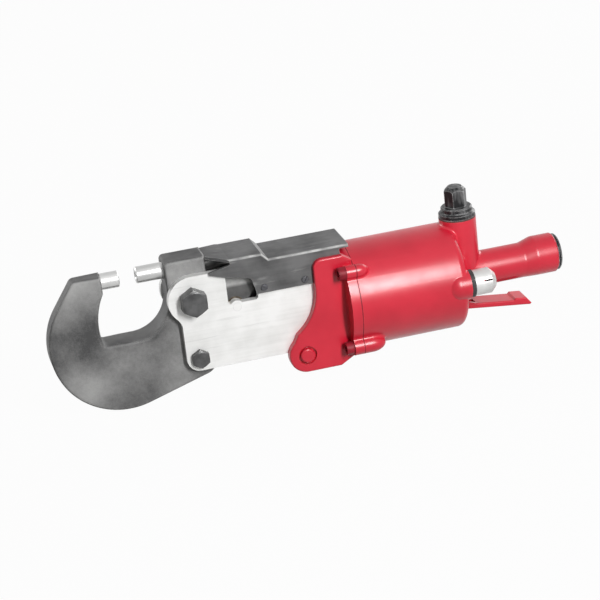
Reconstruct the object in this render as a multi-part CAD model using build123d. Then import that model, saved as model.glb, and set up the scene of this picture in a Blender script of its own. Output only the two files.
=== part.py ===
from build123d import *
import math
import os

# A hand-held compression riveter. Sizes are in millimetres.
# X runs along the tool from the yoke at -X to the air inlet's mouth at zero. Heights are from the barrel's
# axis; the finished pieces are laid so that the middle of the inlet's mouth is the origin.
# Z is up, and the exhaust is on the -Y side, which the other comments call the near side.

# Handle and air inlet
HANDLE_LENGTH = 86.2
GRIP_R = 13.8
GRIP_ROOT_FLARE = 3.2
GRIP_ROOT_LENGTH = 22.0
GRIP_ROOT_SLOPE = 0.4
HANDLE_END_RIM = 1.2
HANDLE_END_RISE = 1.5
HANDLE_END_LENGTH = 17.0
HANDLE_FLARE_LENGTH = 10.0
HANDLE_FLARE_R = 6.0
HANDLE_EDGE_R = 1.2
AIR_PASSAGE_R = 6.0
INLET_BORE_R = 5.6
INLET_BODY_R = 9.5
INLET_BODY_LENGTH = 15.0
INLET_FLANGE_R = 14.4
INLET_FLANGE_T = 3.0
INLET_EDGE = 1.0
SCREEN_FLANGE_T = 1.0
SCREEN_LENGTH = 9.0
SCREEN_WALL = 0.8

# Barrel and what runs in it
BORE_R = 36.0
BARREL_WALL = 5.5
REAR_WALL = 10.0
REAR_EDGE_R = 5.0
PISTON_LENGTH = 20.0
PISTON_STROKE = 30.0
PISTON_GAP = 0.4
PISTON_WEB = 9.0
PISTON_SKIRT = 5.0
SEAL_WIDTH = 5.0
SEAL_DEPTH = 4.0
SPRING_SHUT = 19.0
SPRING_R = 24.0
SPRING_WIRE_R = 1.6
SPRING_TURNS = 5
BUMPER_T = 1.8
BUMPER_R = 28.0
BUMPER_GAP = 0.3
ROD_R = 7.0
ROD_END_R = 5.5
ROD_NUT_AF = 17.0
ROD_NUT_T = 7.0

# Front head and its bolts
GASKET_T = 0.8
HEAD_SPIGOT = 4.5
FLANGE_T = 7.2
GLAND_LENGTH = 7.0
BUSH_WALL = 2.5
ROD_SEAL_DEPTH = 3.2
ROD_SEAL_WIDTH = 4.0
BOLT_R = 3.0
BOLT_HEAD_R = 5.0
BOLT_HEAD_H = 6.0
BOLT_SOCKET_AF = 5.0
BOLT_REACH = 0.74
BOLT_HEAD_GAP = 1.3
UPPER_BOSS_R = 5.2
UPPER_BOSS_STANDOFF = 1.4
UPPER_BOSS_LENGTH = 2.0
UPPER_BOSS_NOSE = 7.5
LOWER_BOSS_R = 6.5
LOWER_BOSS_STANDOFF = 3.0
LOWER_BOSS_LENGTH = 6.5
LOWER_BOSS_NOSE = 11.0

# Stack across the tool, from the middle plane outwards
YOKE_T = 24.0
PLATE_T = 6.0
SHEET_T = 2.5
EAR_T = 7.0

# Ears of the front head
EAR_LENGTH = 23.0
EAR_CORNER_R = 7.0
EAR_SCOOP_R = 42.0
EAR_SCOOP_Z = 18.0
EAR_LOBE_R = 14.0
EAR_LOBE_ANGLE = 50.0
EAR_BOLT_REACH = 35.0
EAR_BOLT_Z = -33.4
EAR_BOLT_R = 4.0
EAR_BOLT_HEAD_R = 5.7
EAR_BOLT_HEAD_H = 4.0
EAR_BOLT_EDGE_R = 1.5
EAR_NUT_AF = 12.0
EAR_RECESS_R = 7.4
EAR_RECESS_DEPTH = 2.5
EAR_SPACER_R = 7.6
EAR_END_SLOPE = 9.0
DOWEL_R = 3.0
DOWEL_LENGTH = 7.0
DOWEL_Z = 4.0
DOWEL_BACK = 9.0

# Crosshead, rollers and track
CROSSHEAD_GAP = 2.0
CROSSHEAD_WEB = 11.0
CROSSHEAD_HALF_HEIGHT = 14.0
ROLLER_R = 9.0
ROLLER_T = 9.8
ROLLER_PIN_R = 3.5
ROLLER_GAP = 0.4
FORK_CHEEK = 4.0
FORK_NOSE = 10.5
FORK_CORNER_R = 6.0
SIDE_GAP = 0.2
TRACK_T = 6.0
TRACK_KEY = 1.4

# Rocker
PIVOT_Z = 14.2
PIVOT_PIN_R = 5.0
PIVOT_END_R = 3.2
PIVOT_LOBE_R = 5.2
PIVOT_BUSH_WALL = 1.5
HUB_R = 11.0
HUB_GAP = 2.5
BLOCK_FRONT = 9.0
BLOCK_REAR = 17.0
BLOCK_HEIGHT = 24.3
BLOCK_CORNER_R = 12.0
BLOCK_EDGE_R = 2.6
BLOCK_WAIST = 17.0
NOSE_R = 4.0
NOSE_STEM = 3.0
NOSE_DROP = 2.4
PRONG_T = 5.0
TAIL_T = 9.6
TAIL_OVERHANG = 6.0
TAIL_ROOT_HEIGHT = 20.0
CAM_GAP = 0.3

# Plunger and dies
PLUNGER_Z = 48.2
PLUNGER_STROKE = 10.0
DIE_R = 6.35
DIE_SHANK_R = 2.4
DIE_SHANK_LENGTH = 12.0
DIE_EDGE = 0.6
DIE_CUP_R = 3.4
DIE_CUP_DEPTH = 1.4
DIE_CUP_BREAK = 0.7
FIXED_DIE_LENGTH = 13.8
MOVING_DIE_LENGTH = 18.6
PLUNGER_NOSE = 2.2
PLUNGER_FLAT = 2.2
NECK_T = 6.4
NECK_DROP = 5.6
BUTTON_T = 4.0
NOSE_GAP = 0.3

# Yoke
LIMB_TO_PIVOT = 19.0
LIMB_DEPTH = 31.3
LIMB_TOP = 57.3
THROAT_WIDTH = 47.7
THROAT_DEPTH = 47.8
THROAT_R = 28.0
THROAT_CORNER_R = 3.5
JAW_TOP = 54.0
JAW_LENGTH = 22.0
JAW_TIP_T = 12.6
JAW_TAPER_START = 12.4
JAW_RELIEF = 6.6
JAW_HEEL = 5.1
JAW_CORNER_R = 5.0
LIMB_CORNER_R = 3.5
SEAT_MARGIN = 1.3
BELLY_R = 54.8
BELLY_BEHIND_JAW = 8.2
BELLY_RISE = 0.8
YOKE_HEEL_DROP = 3.9
YOKE_HEEL_R = 12.0
YOKE_EDGE_R = 2.0

# Yoke bolts
HEX_BOLT_TO_PIVOT = 33.2
HEX_BOLT_Z = 26.2
HEX_BOLT_R = 6.0
HEX_BOLT_AF = 19.0
HEX_BOLT_HEAD_H = 10.0
HEX_NUT_H = 9.0
LOWER_BOLT_Z = -20.9
LOWER_BOLT_R = 4.5
LOWER_BOLT_AF = 13.0
LOWER_BOLT_HEAD_H = 4.5
LOWER_NUT_H = 7.0
BOLT_END = 2.0
HEX_CHAMFER = 0.8
HEX_TURN = 30.0

# Side plates
LOBE_R = 18.8
LOWER_LOBE_R = 10.3
LOBE_BLEND_R = 12.0
NOTCH_AHEAD = 6.5
NOTCH_BEHIND = 17.0
NOTCH_Z = 17.3
NOTCH_CORNER_R = 2.0
PLATE_REAR_TOP = 40.0
PLATE_REAR_GAP = 0.5
PLATE_EAR_LOBE_R = 10.0

# Cover
TONGUE_DROP = 1.0
TONGUE_HALF = 11.0
TONGUE_GAP = 0.3
COVER_LIFT = 4.3
STEP_RISE = 5.2
RISE_AHEAD = 2.0
RISE_BEHIND = 22.7
STEP_RUN = 5.0
COVER_OVERLAP = 7.0
SKIRT_Z = 22.2
SKIRT_TIP_AHEAD = 18.6
SKIRT_TIP_Z = 45.7
SKIRT_TIP_END = 2.0
ARCH_AHEAD = 7.6
ARCH_Z = 40.2
ARCH_CORNER_BEHIND = 12.6
ARCH_CORNER_Z = 36.4
ARCH_CORNER_R = 6.0
ARCH_END_BEHIND = 15.6
ARCH_END_Z = 24.6
BEND_R = 2.0
SKIRT_GAP = 0.3
COVER_SCREW_R = 1.5
COVER_SCREW_HEAD_R = 2.7
COVER_SCREW_HEAD_H = 1.3
COVER_SCREW_LENGTH = 6.0
COVER_SCREW_BEHIND = (22.0, 54.0)
COVER_SCREW_Z = 26.6

# Valve stub, throttle valve and lever
STUB_BEHIND = 7.2
STUB_R = 14.5
STUB_RISE = 4.2
CHAMBER_R = 9.0
SEAT_Z = 16.0
SEAT_T = 4.0
SEAT_HOLE_R = 5.2
GUIDE_R = 5.6
GUIDE_BUSH_R = 3.4
GUIDE_TOP = -8.0
GUIDE_BOTTOM = -25.0
STEM_R = 2.5
VALVE_R = 7.5
VALVE_T = 4.0
VALVE_PILOT_R = 3.2
VALVE_PILOT_LENGTH = 6.0
VALVE_SPRING_R = 5.2
VALVE_WIRE_R = 0.6
VALVE_TURNS = 6
PORT_R = 3.5
PORT_Z = 27.0
CAP_GASKET_T = 1.0
CAP_COLLAR_R = 14.3
CAP_COLLAR_H = 4.4
CAP_COLLAR_EDGE = 1.4
CAP_SHOULDER_R = 12.2
CAP_SHOULDER_H = 3.8
CAP_SHOULDER_EDGE = 0.8
CAP_HEAD_AF = 15.4
CAP_HEAD_H = 16.0
CAP_HEAD_CHAMFER = 2.2
CAP_SPIGOT_LENGTH = 9.0
CAP_SPRING_R = 6.4
LEVER_PIVOT_BEHIND = 1.5
LEVER_PIVOT_Z = -24.5
LEVER_PIN_R = 1.75
LEVER_EYE_R = 3.5
LEVER_SLOPE = 7.1
LEVER_SQUEEZE = 8.0
LEVER_LENGTH = 59.0
LEVER_T = 4.2
LEVER_KNEE = 13.0
LEVER_PAD_START = 44.0
LEVER_PAD_RUN = 1.3
LEVER_PAD_RISE = 1.6
LEVER_PAD_END = 54.4
LEVER_TIP = 1.1
LEVER_WEB_T = 2.2
LEVER_LUG_GAP = 0.5
LEVER_POCKET = 13.0
LEVER_CHEEK = 3.0
LEVER_EDGE_R = 1.0
LEVER_SIDE_GAP = 0.4
LUG_R = 3.2

# Exhaust
EXHAUST_INSET = 8.5
EXHAUST_Z = 1.9
EXHAUST_BOSS_R = 11.7
EXHAUST_BOSS_AHEAD = 6.6
EXHAUST_BOSS_BEHIND = 1.4
EXHAUST_ROOT_R = 1.2
EXHAUST_BORE_R = 7.6
EXHAUST_BORE_DEPTH = 8.4
EXHAUST_PORT_R = 3.0
EXHAUST_GASKET_T = 3.5
EXHAUST_GASKET_R = 10.7
EXHAUST_CAP_R = 10.0
EXHAUST_CAP_LENGTH = 17.5
EXHAUST_CAP_TAPER = 4.0
EXHAUST_CAP_WALL = 2.2
EXHAUST_SPIGOT = 4.0
EXHAUST_SLOTS = 4
EXHAUST_SLOT_TURN = 69.0
EXHAUST_SLOT_W = 1.2
EXHAUST_SLOT_L = 7.0
FELT_LENGTH = 4.0

# Radial clearance of pins, bolts and shafts in their holes, and the radii of the castings' corners
FIT = 0.05
CAST_R = 2.0
EAR_EDGE_R = 1.5

# Points a turn at which a coil's gap is measured
COIL_SAMPLES = 24

# Sizes that follow others
BARREL_R = BORE_R + BARREL_WALL
GRIP_ROOT_R = GRIP_R + GRIP_ROOT_FLARE
HANDLE_END_R = INLET_FLANGE_R + HANDLE_END_RIM
EAR_TOP = BARREL_R
STUB_TOP = BARREL_R + STUB_RISE
EXHAUST_Y = EXHAUST_INSET - BARREL_R
COVER_REAR_TOP = BARREL_R + COVER_LIFT + SHEET_T
COVER_TOP = COVER_REAR_TOP + STEP_RISE
TONGUE_TOP = LIMB_TOP - TONGUE_DROP

# Stations along the tool, worked out from the inlet forwards
X_REAR = -HANDLE_LENGTH
X_BORE_REAR = X_REAR - REAR_WALL
X_PISTON_REAR = X_BORE_REAR - BUMPER_T - BUMPER_GAP
X_PISTON_FRONT = X_PISTON_REAR - PISTON_LENGTH
X_SPRING_SEAT = X_PISTON_FRONT - PISTON_STROKE - SPRING_SHUT
X_SEAM = X_SPRING_SEAT - HEAD_SPIGOT
X_HEAD_REAR = X_SEAM - GASKET_T
X_HEAD_FRONT = X_HEAD_REAR - FLANGE_T
X_GLAND = X_HEAD_FRONT - GLAND_LENGTH
X_CROSS_REAR = X_GLAND - CROSSHEAD_GAP
X_FORK = X_CROSS_REAR - CROSSHEAD_WEB
X_ROLLER = X_FORK - ROLLER_GAP - ROLLER_R
X_CROSS_FRONT = X_ROLLER - FORK_NOSE
X_PIVOT = X_CROSS_FRONT - PISTON_STROKE - HUB_GAP - HUB_R
X_LIMB_REAR = X_PIVOT - LIMB_TO_PIVOT
X_LIMB = X_LIMB_REAR - LIMB_DEPTH
X_JAW = X_LIMB - THROAT_WIDTH
X_BOLTS = X_PIVOT - HEX_BOLT_TO_PIVOT
X_EAR = X_HEAD_FRONT - EAR_LENGTH
X_EAR_BOLT = X_HEAD_FRONT - EAR_BOLT_REACH
X_PLATE_REAR = X_HEAD_FRONT - PLATE_REAR_GAP
X_STUB = X_REAR + STUB_BEHIND
X_LEVER = X_REAR + LEVER_PIVOT_BEHIND

# Half widths of the stack across the tool
Y_PLATE = YOKE_T / 2
Y_SKIRT = Y_PLATE + PLATE_T
Y_COVER = Y_SKIRT + SHEET_T
Y_EAR = Y_SKIRT + EAR_T
Y_RUN = Y_PLATE - SIDE_GAP
FORK_IN = ROLLER_T / 2 + SIDE_GAP
FORK_OUT = FORK_IN + FORK_CHEEK

# Heights
ROLLER_Z = ROLLER_R + ROLLER_GAP / 2
TRACK_TOP = -ROLLER_Z - ROLLER_R - CAM_GAP
PLATE_BOTTOM = LOWER_BOLT_Z - LOWER_LOBE_R
THROAT_Z = PLUNGER_Z - THROAT_DEPTH

# Rocker motion: its nose swings evenly to both sides of upright
ROCKER_ARM = PLUNGER_Z - NOSE_DROP - PIVOT_Z
SWING = 2 * math.asin(PLUNGER_STROKE / 2 / ROCKER_ARM)
NOSE_DX = ROCKER_ARM * math.sin(SWING / 2)
NOSE_DZ = ROCKER_ARM * math.cos(SWING / 2)

# Plunger stations at rest
X_NOSE = X_PIVOT + NOSE_DX
X_SHOULDER = X_NOSE - NOSE_R - NOSE_GAP
X_BUTTON = X_NOSE + NOSE_R + NOSE_GAP
X_PLUNGER = X_LIMB - PLUNGER_NOSE
TAIL_FLAT_Z = PLUNGER_Z + PLUNGER_FLAT

# Head bolts as (y, z, boss radius, length, nose): as near to the ears as their heads allow
BOLT_Y = Y_EAR + BOLT_HEAD_R + BOLT_HEAD_GAP
UPPER_BOLT_Z = math.sqrt((BARREL_R + UPPER_BOSS_STANDOFF) ** 2 - BOLT_Y**2)
LOWER_HEAD_BOLT_Z = -math.sqrt((BARREL_R + LOWER_BOSS_STANDOFF) ** 2 - BOLT_Y**2)
BOLT_ROWS = (
    (UPPER_BOLT_Z, UPPER_BOSS_R, UPPER_BOSS_LENGTH, UPPER_BOSS_NOSE),
    (LOWER_HEAD_BOLT_Z, LOWER_BOSS_R, LOWER_BOSS_LENGTH, LOWER_BOSS_NOSE),
)
BOLT_PLACES = [(y, *row) for y in (-BOLT_Y, BOLT_Y) for row in BOLT_ROWS]


def bar_x(x0, x1, r, y=0.0, z=0.0):
    """Round bar along X."""
    plane = Plane(origin=(x0, y, z), x_dir=(0, 1, 0), z_dir=(1, 0, 0))
    return extrude(plane * Circle(r), amount=x1 - x0)


def bar_y(x, z, r, y0, y1):
    """Round bar along Y."""
    plane = Plane(origin=(x, y0, z), x_dir=(1, 0, 0), z_dir=(0, 1, 0))
    return extrude(plane * Circle(r), amount=y1 - y0)


def bar_z(x, y, r, z0, z1):
    """Round bar along Z."""
    return extrude(Plane(origin=(x, y, z0)) * Circle(r), amount=z1 - z0)


def block(x0, x1, y0, y1, z0, z1):
    """Box between two corners."""
    return Pos((x0 + x1) / 2, (y0 + y1) / 2, (z0 + z1) / 2) * Box(x1 - x0, y1 - y0, z1 - z0)


def slab(face, y0, y1):
    """Outline drawn in X and Z, made solid from y0 to y1."""
    plane = Plane(origin=(0, y1, 0), x_dir=(1, 0, 0), z_dir=(0, -1, 0))
    return extrude(plane * face, amount=y1 - y0)


def both_sides(near):
    """A near-side shape with its mirror image on the far side."""
    return near + mirror(near, about=Plane.XZ)


def turned_x(points, y=0.0, z=0.0):
    """Body turned about an axis along X, from (x, radius) points."""
    face = make_face(Polyline(*points, close=True))
    return Pos(0, y, z) * revolve(Plane.XZ * face, axis=Axis.X)


def turned_z(points, x=0.0):
    """Body turned about an axis along Z, from (radius, z) points."""
    face = make_face(Polyline(*points, close=True))
    return Pos(x, 0, 0) * revolve(Plane.XZ * face, axis=Axis.Z)


def nosed_bar(x0, x1, r, nose, y, z):
    """Bar along X whose end at x1 runs on into half an ellipsoid; a nose below zero points to -X."""
    side = Polyline((x1 + nose, 0), (x0, 0), (x0, r), (x1, r))
    start = 0 if nose > 0 else 90
    side += EllipticalCenterArc((x1, 0), abs(nose), r, start, arc_size=90)
    return Pos(0, y, z) * revolve(Plane.XZ * make_face(side), axis=Axis.X)


def polygon(*points):
    """Closed outline in X and Z."""
    return make_face(Polyline(*points, close=True))


def rect(x0, x1, z0, z1):
    """Rectangle in X and Z."""
    return Pos((x0 + x1) / 2, (z0 + z1) / 2) * Rectangle(x1 - x0, z1 - z0)


def disc(x, z, r):
    """Disc in X and Z."""
    return Pos(x, z) * Circle(r)


def round_at(face, x, z, r):
    """Rounds the corner of an outline that lies nearest to a point."""
    corner = face.vertices().sort_by_distance((x, z, 0))[0]
    return fillet(corner, r)


def tangent_point(centre, radius, point, side):
    """Where the line from a point touches a circle; side picks one of the two."""
    dx = point[0] - centre[0]
    dz = point[1] - centre[1]
    angle = math.atan2(dz, dx) + side * math.acos(radius / math.hypot(dx, dz))
    return (centre[0] + radius * math.cos(angle), centre[1] + radius * math.sin(angle)), angle


def seams(body, first, second):
    """Edges of a union that lie on the skins of both of its pieces."""
    found = []
    for edge in body.edges():
        middle = edge @ 0.5
        if first.distance_to(middle) < FIT / 5 and second.distance_to(middle) < FIT / 5:
            found.append(edge)
    return found


def blended(first, second, radius):
    """Two cast pieces joined, with a fillet all along their seam."""
    body = first + second
    return fillet(seams(body, first, second), radius)


def least_gap(wire, turns):
    """Least distance between points of a coil's middle line that lie over half a turn apart."""
    steps = COIL_SAMPLES * turns
    points = [wire @ (step / steps) for step in range(steps + 1)]
    apart = COIL_SAMPLES // 2
    return min((p - q).length for i, p in enumerate(points) for q in points[i + apart:])


def coil(start, across, along, radius, wire_r, length, turns):
    """Round wire spring: half turns as pairs of arcs, swept as one tube."""
    start = Vector(*start)
    across = Vector(*across)
    along = Vector(*along)
    side = along.cross(across)
    rise = length / turns

    def point(angle):
        out = across * math.cos(angle) + side * math.sin(angle)
        return start + out * radius + along * (rise * angle / (2 * math.pi))

    def heading(angle):
        turn = side * math.cos(angle) - across * math.sin(angle)
        return (turn * radius + along * (rise / (2 * math.pi))).normalized()

    edges = []
    for half in range(2 * turns):
        a0 = math.pi * half
        a1 = a0 + math.pi
        p0, p1 = point(a0), point(a1)
        t0, t1 = heading(a0), heading(a1)
        span = p1 - p0
        both = t0 + t1
        spread = 2 * (1 - t0.dot(t1))
        reach = (-span.dot(both) + math.sqrt(span.dot(both) ** 2 + spread * span.dot(span))) / spread
        middle = (p0 + p1 + (t0 - t1) * reach) * 0.5
        edges.append(Edge.make_tangent_arc(p0, t0, middle))
        edges.append(Edge.make_tangent_arc(middle, edges[-1] % 1, p1))
    wire = Wire(edges)
    print("least gap of a spring to itself", round(least_gap(wire, turns) - 2 * wire_r, 3))
    return sweep(Plane(origin=point(0), z_dir=heading(0)) * Circle(wire_r), path=wire)


def hex_y(x, z, flats, y0, y1, outer):
    """Hexagon along Y with its outer corners chamfered; outer is the y of the free end."""
    plane = Plane(origin=(x, y1, z), x_dir=(1, 0, 0), z_dir=(0, -1, 0))
    hexagon = RegularPolygon(flats / 2, 6, major_radius=False, rotation=HEX_TURN)
    head = extrude(plane * hexagon, amount=y1 - y0)
    corner_r = flats / math.sqrt(3)
    inner = y0 + y1 - outer
    step = HEX_CHAMFER if outer > inner else -HEX_CHAMFER
    profile = make_face(
        Polyline(
            (0, inner),
            (corner_r + HEX_CHAMFER, inner),
            (corner_r + HEX_CHAMFER, outer - 2 * step),
            (flats / 2 - HEX_CHAMFER, outer),
            (0, outer),
            close=True,
        )
    )
    return head & (Pos(x, 0, z) * revolve(profile, axis=Axis.Y))


def cylinder():
    """Red casting: barrel, rear wall, handle, valve stub, lever lug, exhaust boss and bolt bosses."""
    barrel = bar_x(X_SEAM, X_REAR, BARREL_R)
    barrel = fillet(barrel.edges().sort_by(Axis.X)[-1], REAR_EDGE_R)
    x_end = -INLET_FLANGE_T
    x_flare = x_end - HANDLE_END_LENGTH
    x_grip = x_flare - HANDLE_FLARE_LENGTH
    x_root = X_REAR + GRIP_ROOT_LENGTH
    side = Line((X_REAR - 1, 0), (X_REAR - 1, GRIP_ROOT_R))
    side += Line((X_REAR - 1, GRIP_ROOT_R), (X_REAR, GRIP_ROOT_R))
    side += Spline((X_REAR, GRIP_ROOT_R), (x_root, GRIP_R), tangents=[(1, -GRIP_ROOT_SLOPE), (1, 0)])
    side += Polyline((x_root, GRIP_R), (x_grip, GRIP_R), (x_grip, 0), (X_REAR - 1, 0))
    handle = revolve(Plane.XZ * make_face(side), axis=Axis.X)
    grip_end = Plane(origin=(x_grip, 0, 0), x_dir=(0, 1, 0), z_dir=(1, 0, 0))
    raised = Plane(origin=(x_flare, 0, HANDLE_END_RISE), x_dir=(0, 1, 0), z_dir=(1, 0, 0))
    handle += loft([grip_end * Circle(GRIP_R), raised * Circle(HANDLE_END_R)], ruled=True)
    end = bar_x(x_flare, x_end, HANDLE_END_R, 0, HANDLE_END_RISE)
    handle += chamfer(end.edges().filter_by(GeomType.CIRCLE).sort_by(Axis.X)[-1], HANDLE_EDGE_R)
    creases = handle.edges().filter_by(lambda e: x_grip - FIT < e.center().X < x_flare + FIT)
    handle = fillet(creases.filter_by(GeomType.CIRCLE), HANDLE_FLARE_R)
    stub = bar_z(X_STUB, 0, STUB_R, 0, STUB_TOP)
    guide = bar_z(X_STUB, 0, GUIDE_R, GUIDE_BOTTOM, 0)
    lug_face = disc(X_LEVER, LEVER_PIVOT_Z, LUG_R)
    lug_face += rect(X_LEVER - LUG_R, X_LEVER + LUG_R, LEVER_PIVOT_Z, 0)
    lug = slab(lug_face, -GUIDE_R, GUIDE_R)
    x_dome = X_REAR - EXHAUST_BOSS_AHEAD
    x_boss_rear = X_REAR + EXHAUST_BOSS_BEHIND
    exhaust = nosed_bar(x_boss_rear, x_dome, EXHAUST_BOSS_R, -EXHAUST_BOSS_R, EXHAUST_Y, EXHAUST_Z)
    for y, z, r, length, nose in BOLT_PLACES:
        boss = nosed_bar(X_SEAM, X_SEAM + length, r, nose, y, z)
        barrel = blended(barrel, boss, CAST_R)
    barrel = blended(barrel, exhaust, EXHAUST_ROOT_R)
    body = barrel + handle + stub
    pairs = ((barrel, handle), (barrel, stub), (handle, stub))
    body = fillet([edge for pair in pairs for edge in seams(body, *pair)], CAST_R)
    body += guide + lug
    body -= bar_x(X_SEAM - 1, X_BORE_REAR, BORE_R)
    x_screen = x_end - INLET_BODY_LENGTH - SCREEN_FLANGE_T
    body -= bar_x(x_screen, x_end + 1, INLET_BODY_R + FIT, 0, HANDLE_END_RISE)
    body -= bar_x(X_STUB, x_end, AIR_PASSAGE_R, 0, HANDLE_END_RISE)
    body -= bar_z(X_STUB, 0, CHAMBER_R, SEAT_Z - SEAT_T, STUB_TOP + 1)
    body -= bar_z(X_STUB, 0, SEAT_HOLE_R, GUIDE_TOP, SEAT_Z)
    body -= bar_z(X_STUB, 0, GUIDE_BUSH_R, GUIDE_BOTTOM - 1, GUIDE_TOP)
    body -= bar_x(X_BORE_REAR - 1, X_STUB, PORT_R, 0, PORT_Z)
    body -= bar_y(X_LEVER, LEVER_PIVOT_Z, LEVER_PIN_R + FIT, -BARREL_R, BARREL_R)
    eye_slot_out = GUIDE_R + LEVER_CHEEK + 2 * LEVER_SIDE_GAP
    for y0, y1 in ((-eye_slot_out, -GUIDE_R), (GUIDE_R, eye_slot_out)):
        body -= bar_y(X_LEVER, LEVER_PIVOT_Z, LEVER_EYE_R + LEVER_SIDE_GAP, y0, y1)
    x_felt = x_boss_rear - EXHAUST_BORE_DEPTH
    body -= bar_x(x_felt, x_boss_rear + 1, EXHAUST_BORE_R + FIT, EXHAUST_Y, EXHAUST_Z)
    body -= bar_x(X_BORE_REAR - 1, x_felt, EXHAUST_PORT_R, EXHAUST_Y + EXHAUST_PORT_R, EXHAUST_Z)
    for y, z, r, length, nose in BOLT_PLACES:
        body -= bar_x(X_SEAM - 1, X_SEAM + BOLT_REACH * (length + nose), BOLT_R + FIT, y, z)
    return body


def inlet_bushing():
    """Black threaded bushing that closes the handle's end."""
    return turned_x(
        [
            (-INLET_FLANGE_T - INLET_BODY_LENGTH, INLET_BORE_R),
            (-INLET_FLANGE_T - INLET_BODY_LENGTH, INLET_BODY_R),
            (-INLET_FLANGE_T, INLET_BODY_R),
            (-INLET_FLANGE_T, INLET_FLANGE_R),
            (-INLET_EDGE, INLET_FLANGE_R),
            (0, INLET_FLANGE_R - INLET_EDGE),
            (0, INLET_BORE_R),
        ],
        0,
        HANDLE_END_RISE,
    )


def inlet_screen():
    """Thimble strainer held between the bushing and its seat."""
    x_face = -INLET_FLANGE_T - INLET_BODY_LENGTH
    r = AIR_PASSAGE_R - 2 * FIT
    return turned_x(
        [
            (x_face, r - SCREEN_WALL),
            (x_face, INLET_BODY_R),
            (x_face - SCREEN_FLANGE_T, INLET_BODY_R),
            (x_face - SCREEN_FLANGE_T, r),
            (x_face - SCREEN_LENGTH, r),
            (x_face - SCREEN_LENGTH, 0),
            (x_face - SCREEN_LENGTH + SCREEN_WALL, 0),
            (x_face - SCREEN_LENGTH + SCREEN_WALL, r - SCREEN_WALL),
        ],
        0,
        HANDLE_END_RISE,
    )


def flange_outline(x0, x1):
    """Round flange with its four bolt bosses."""
    plate = bar_x(x0, x1, BARREL_R)
    for y, z, r, length, nose in BOLT_PLACES:
        plate = blended(plate, bar_x(x0, x1, r, y, z), CAST_R)
    return plate


def ear_face():
    """Outline of one ear: scooped front edge, rounded top corner and a lobe for the through bolt."""
    scoop_x = X_EAR - EAR_SCOOP_R
    angle = math.radians(EAR_LOBE_ANGLE)
    bottom = EAR_BOLT_Z - EAR_LOBE_R
    face = polygon(
        (X_EAR, EAR_TOP),
        (X_HEAD_FRONT, EAR_TOP),
        (X_HEAD_REAR, EAR_TOP - EAR_END_SLOPE / 2),
        (X_HEAD_REAR, bottom + EAR_END_SLOPE),
        (X_HEAD_FRONT - EAR_END_SLOPE, bottom),
        (X_EAR_BOLT, bottom),
        (X_EAR_BOLT - EAR_LOBE_R * math.cos(angle), EAR_BOLT_Z + EAR_LOBE_R * math.sin(angle)),
        (X_EAR, EAR_SCOOP_Z),
    )
    face -= disc(scoop_x, EAR_SCOOP_Z, EAR_SCOOP_R)
    face += disc(X_EAR_BOLT, EAR_BOLT_Z, EAR_LOBE_R)
    return round_at(face, X_EAR, EAR_TOP, EAR_CORNER_R)


def front_head():
    """Red casting that closes the barrel and carries the side plates between its two ears."""
    body = flange_outline(X_HEAD_FRONT, X_HEAD_REAR)
    body += bar_x(X_HEAD_REAR, X_SPRING_SEAT, BORE_R - FIT)
    body += bar_x(X_GLAND, X_HEAD_FRONT, Y_PLATE - 2 * SIDE_GAP)
    ear = slab(ear_face(), -Y_EAR, -Y_SKIRT)
    ear = fillet(ear.edges().filter_by(lambda e: abs(e.center().Y + Y_EAR) < FIT), EAR_EDGE_R)
    ear -= block(
        X_EAR - EAR_LOBE_R, X_HEAD_FRONT, -Y_COVER - SKIRT_GAP, -Y_SKIRT + 1, SKIRT_Z - SKIRT_GAP, EAR_TOP + 1
    )
    ear -= bar_y(X_EAR_BOLT, EAR_BOLT_Z, EAR_BOLT_R + FIT, -Y_EAR - 1, 0)
    ear -= bar_y(X_EAR_BOLT, EAR_BOLT_Z, EAR_RECESS_R, -Y_EAR - 1, -Y_EAR + EAR_RECESS_DEPTH)
    ear -= bar_y(X_HEAD_FRONT - DOWEL_BACK, DOWEL_Z, DOWEL_R + FIT, -Y_SKIRT - DOWEL_LENGTH / 2, 0)
    body += both_sides(ear)
    bush_r = ROD_R + BUSH_WALL
    body -= bar_x(X_GLAND - 1, X_SPRING_SEAT + 1, ROD_R + 2 * FIT)
    body -= bar_x(X_GLAND - 1, X_HEAD_REAR, bush_r)
    body -= bar_x(X_SPRING_SEAT - ROD_SEAL_WIDTH, X_SPRING_SEAT + 1, ROD_R + ROD_SEAL_DEPTH)
    for y, z, r, length, nose in BOLT_PLACES:
        body -= bar_x(X_HEAD_FRONT - 1, X_HEAD_REAR + 1, BOLT_R + FIT, y, z)
    return body


def head_gasket():
    """Thin gasket in the seam between front head and barrel."""
    ring = flange_outline(X_HEAD_REAR, X_SEAM)
    ring -= bar_x(X_HEAD_REAR - 1, X_SEAM + 1, BORE_R + FIT)
    for y, z, r, length, nose in BOLT_PLACES:
        ring -= bar_x(X_HEAD_REAR - 1, X_SEAM + 1, BOLT_R + 2 * FIT, y, z)
    return ring


def head_bolts():
    """Four socket head screws that clamp the front head to the barrel."""
    bolts = []
    for y, z, r, length, nose in BOLT_PLACES:
        bolt = bar_x(X_HEAD_FRONT - BOLT_HEAD_H, X_HEAD_FRONT, BOLT_HEAD_R, y, z)
        bolt += bar_x(X_HEAD_FRONT, X_SEAM + BOLT_REACH * (length + nose) - 1, BOLT_R, y, z)
        plane = Plane(origin=(X_HEAD_FRONT - BOLT_HEAD_H, y, z), x_dir=(0, 1, 0), z_dir=(1, 0, 0))
        socket = plane * RegularPolygon(BOLT_SOCKET_AF / 2, 6, major_radius=False)
        bolts.append(bolt - extrude(socket, amount=BOLT_HEAD_H / 2))
    return bolts


def rod_bush():
    """Bronze bush that guides the piston rod."""
    bush = bar_x(X_GLAND, X_HEAD_REAR, ROD_R + BUSH_WALL)
    return bush - bar_x(X_GLAND - 1, X_HEAD_REAR + 1, ROD_R + FIT)


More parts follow.
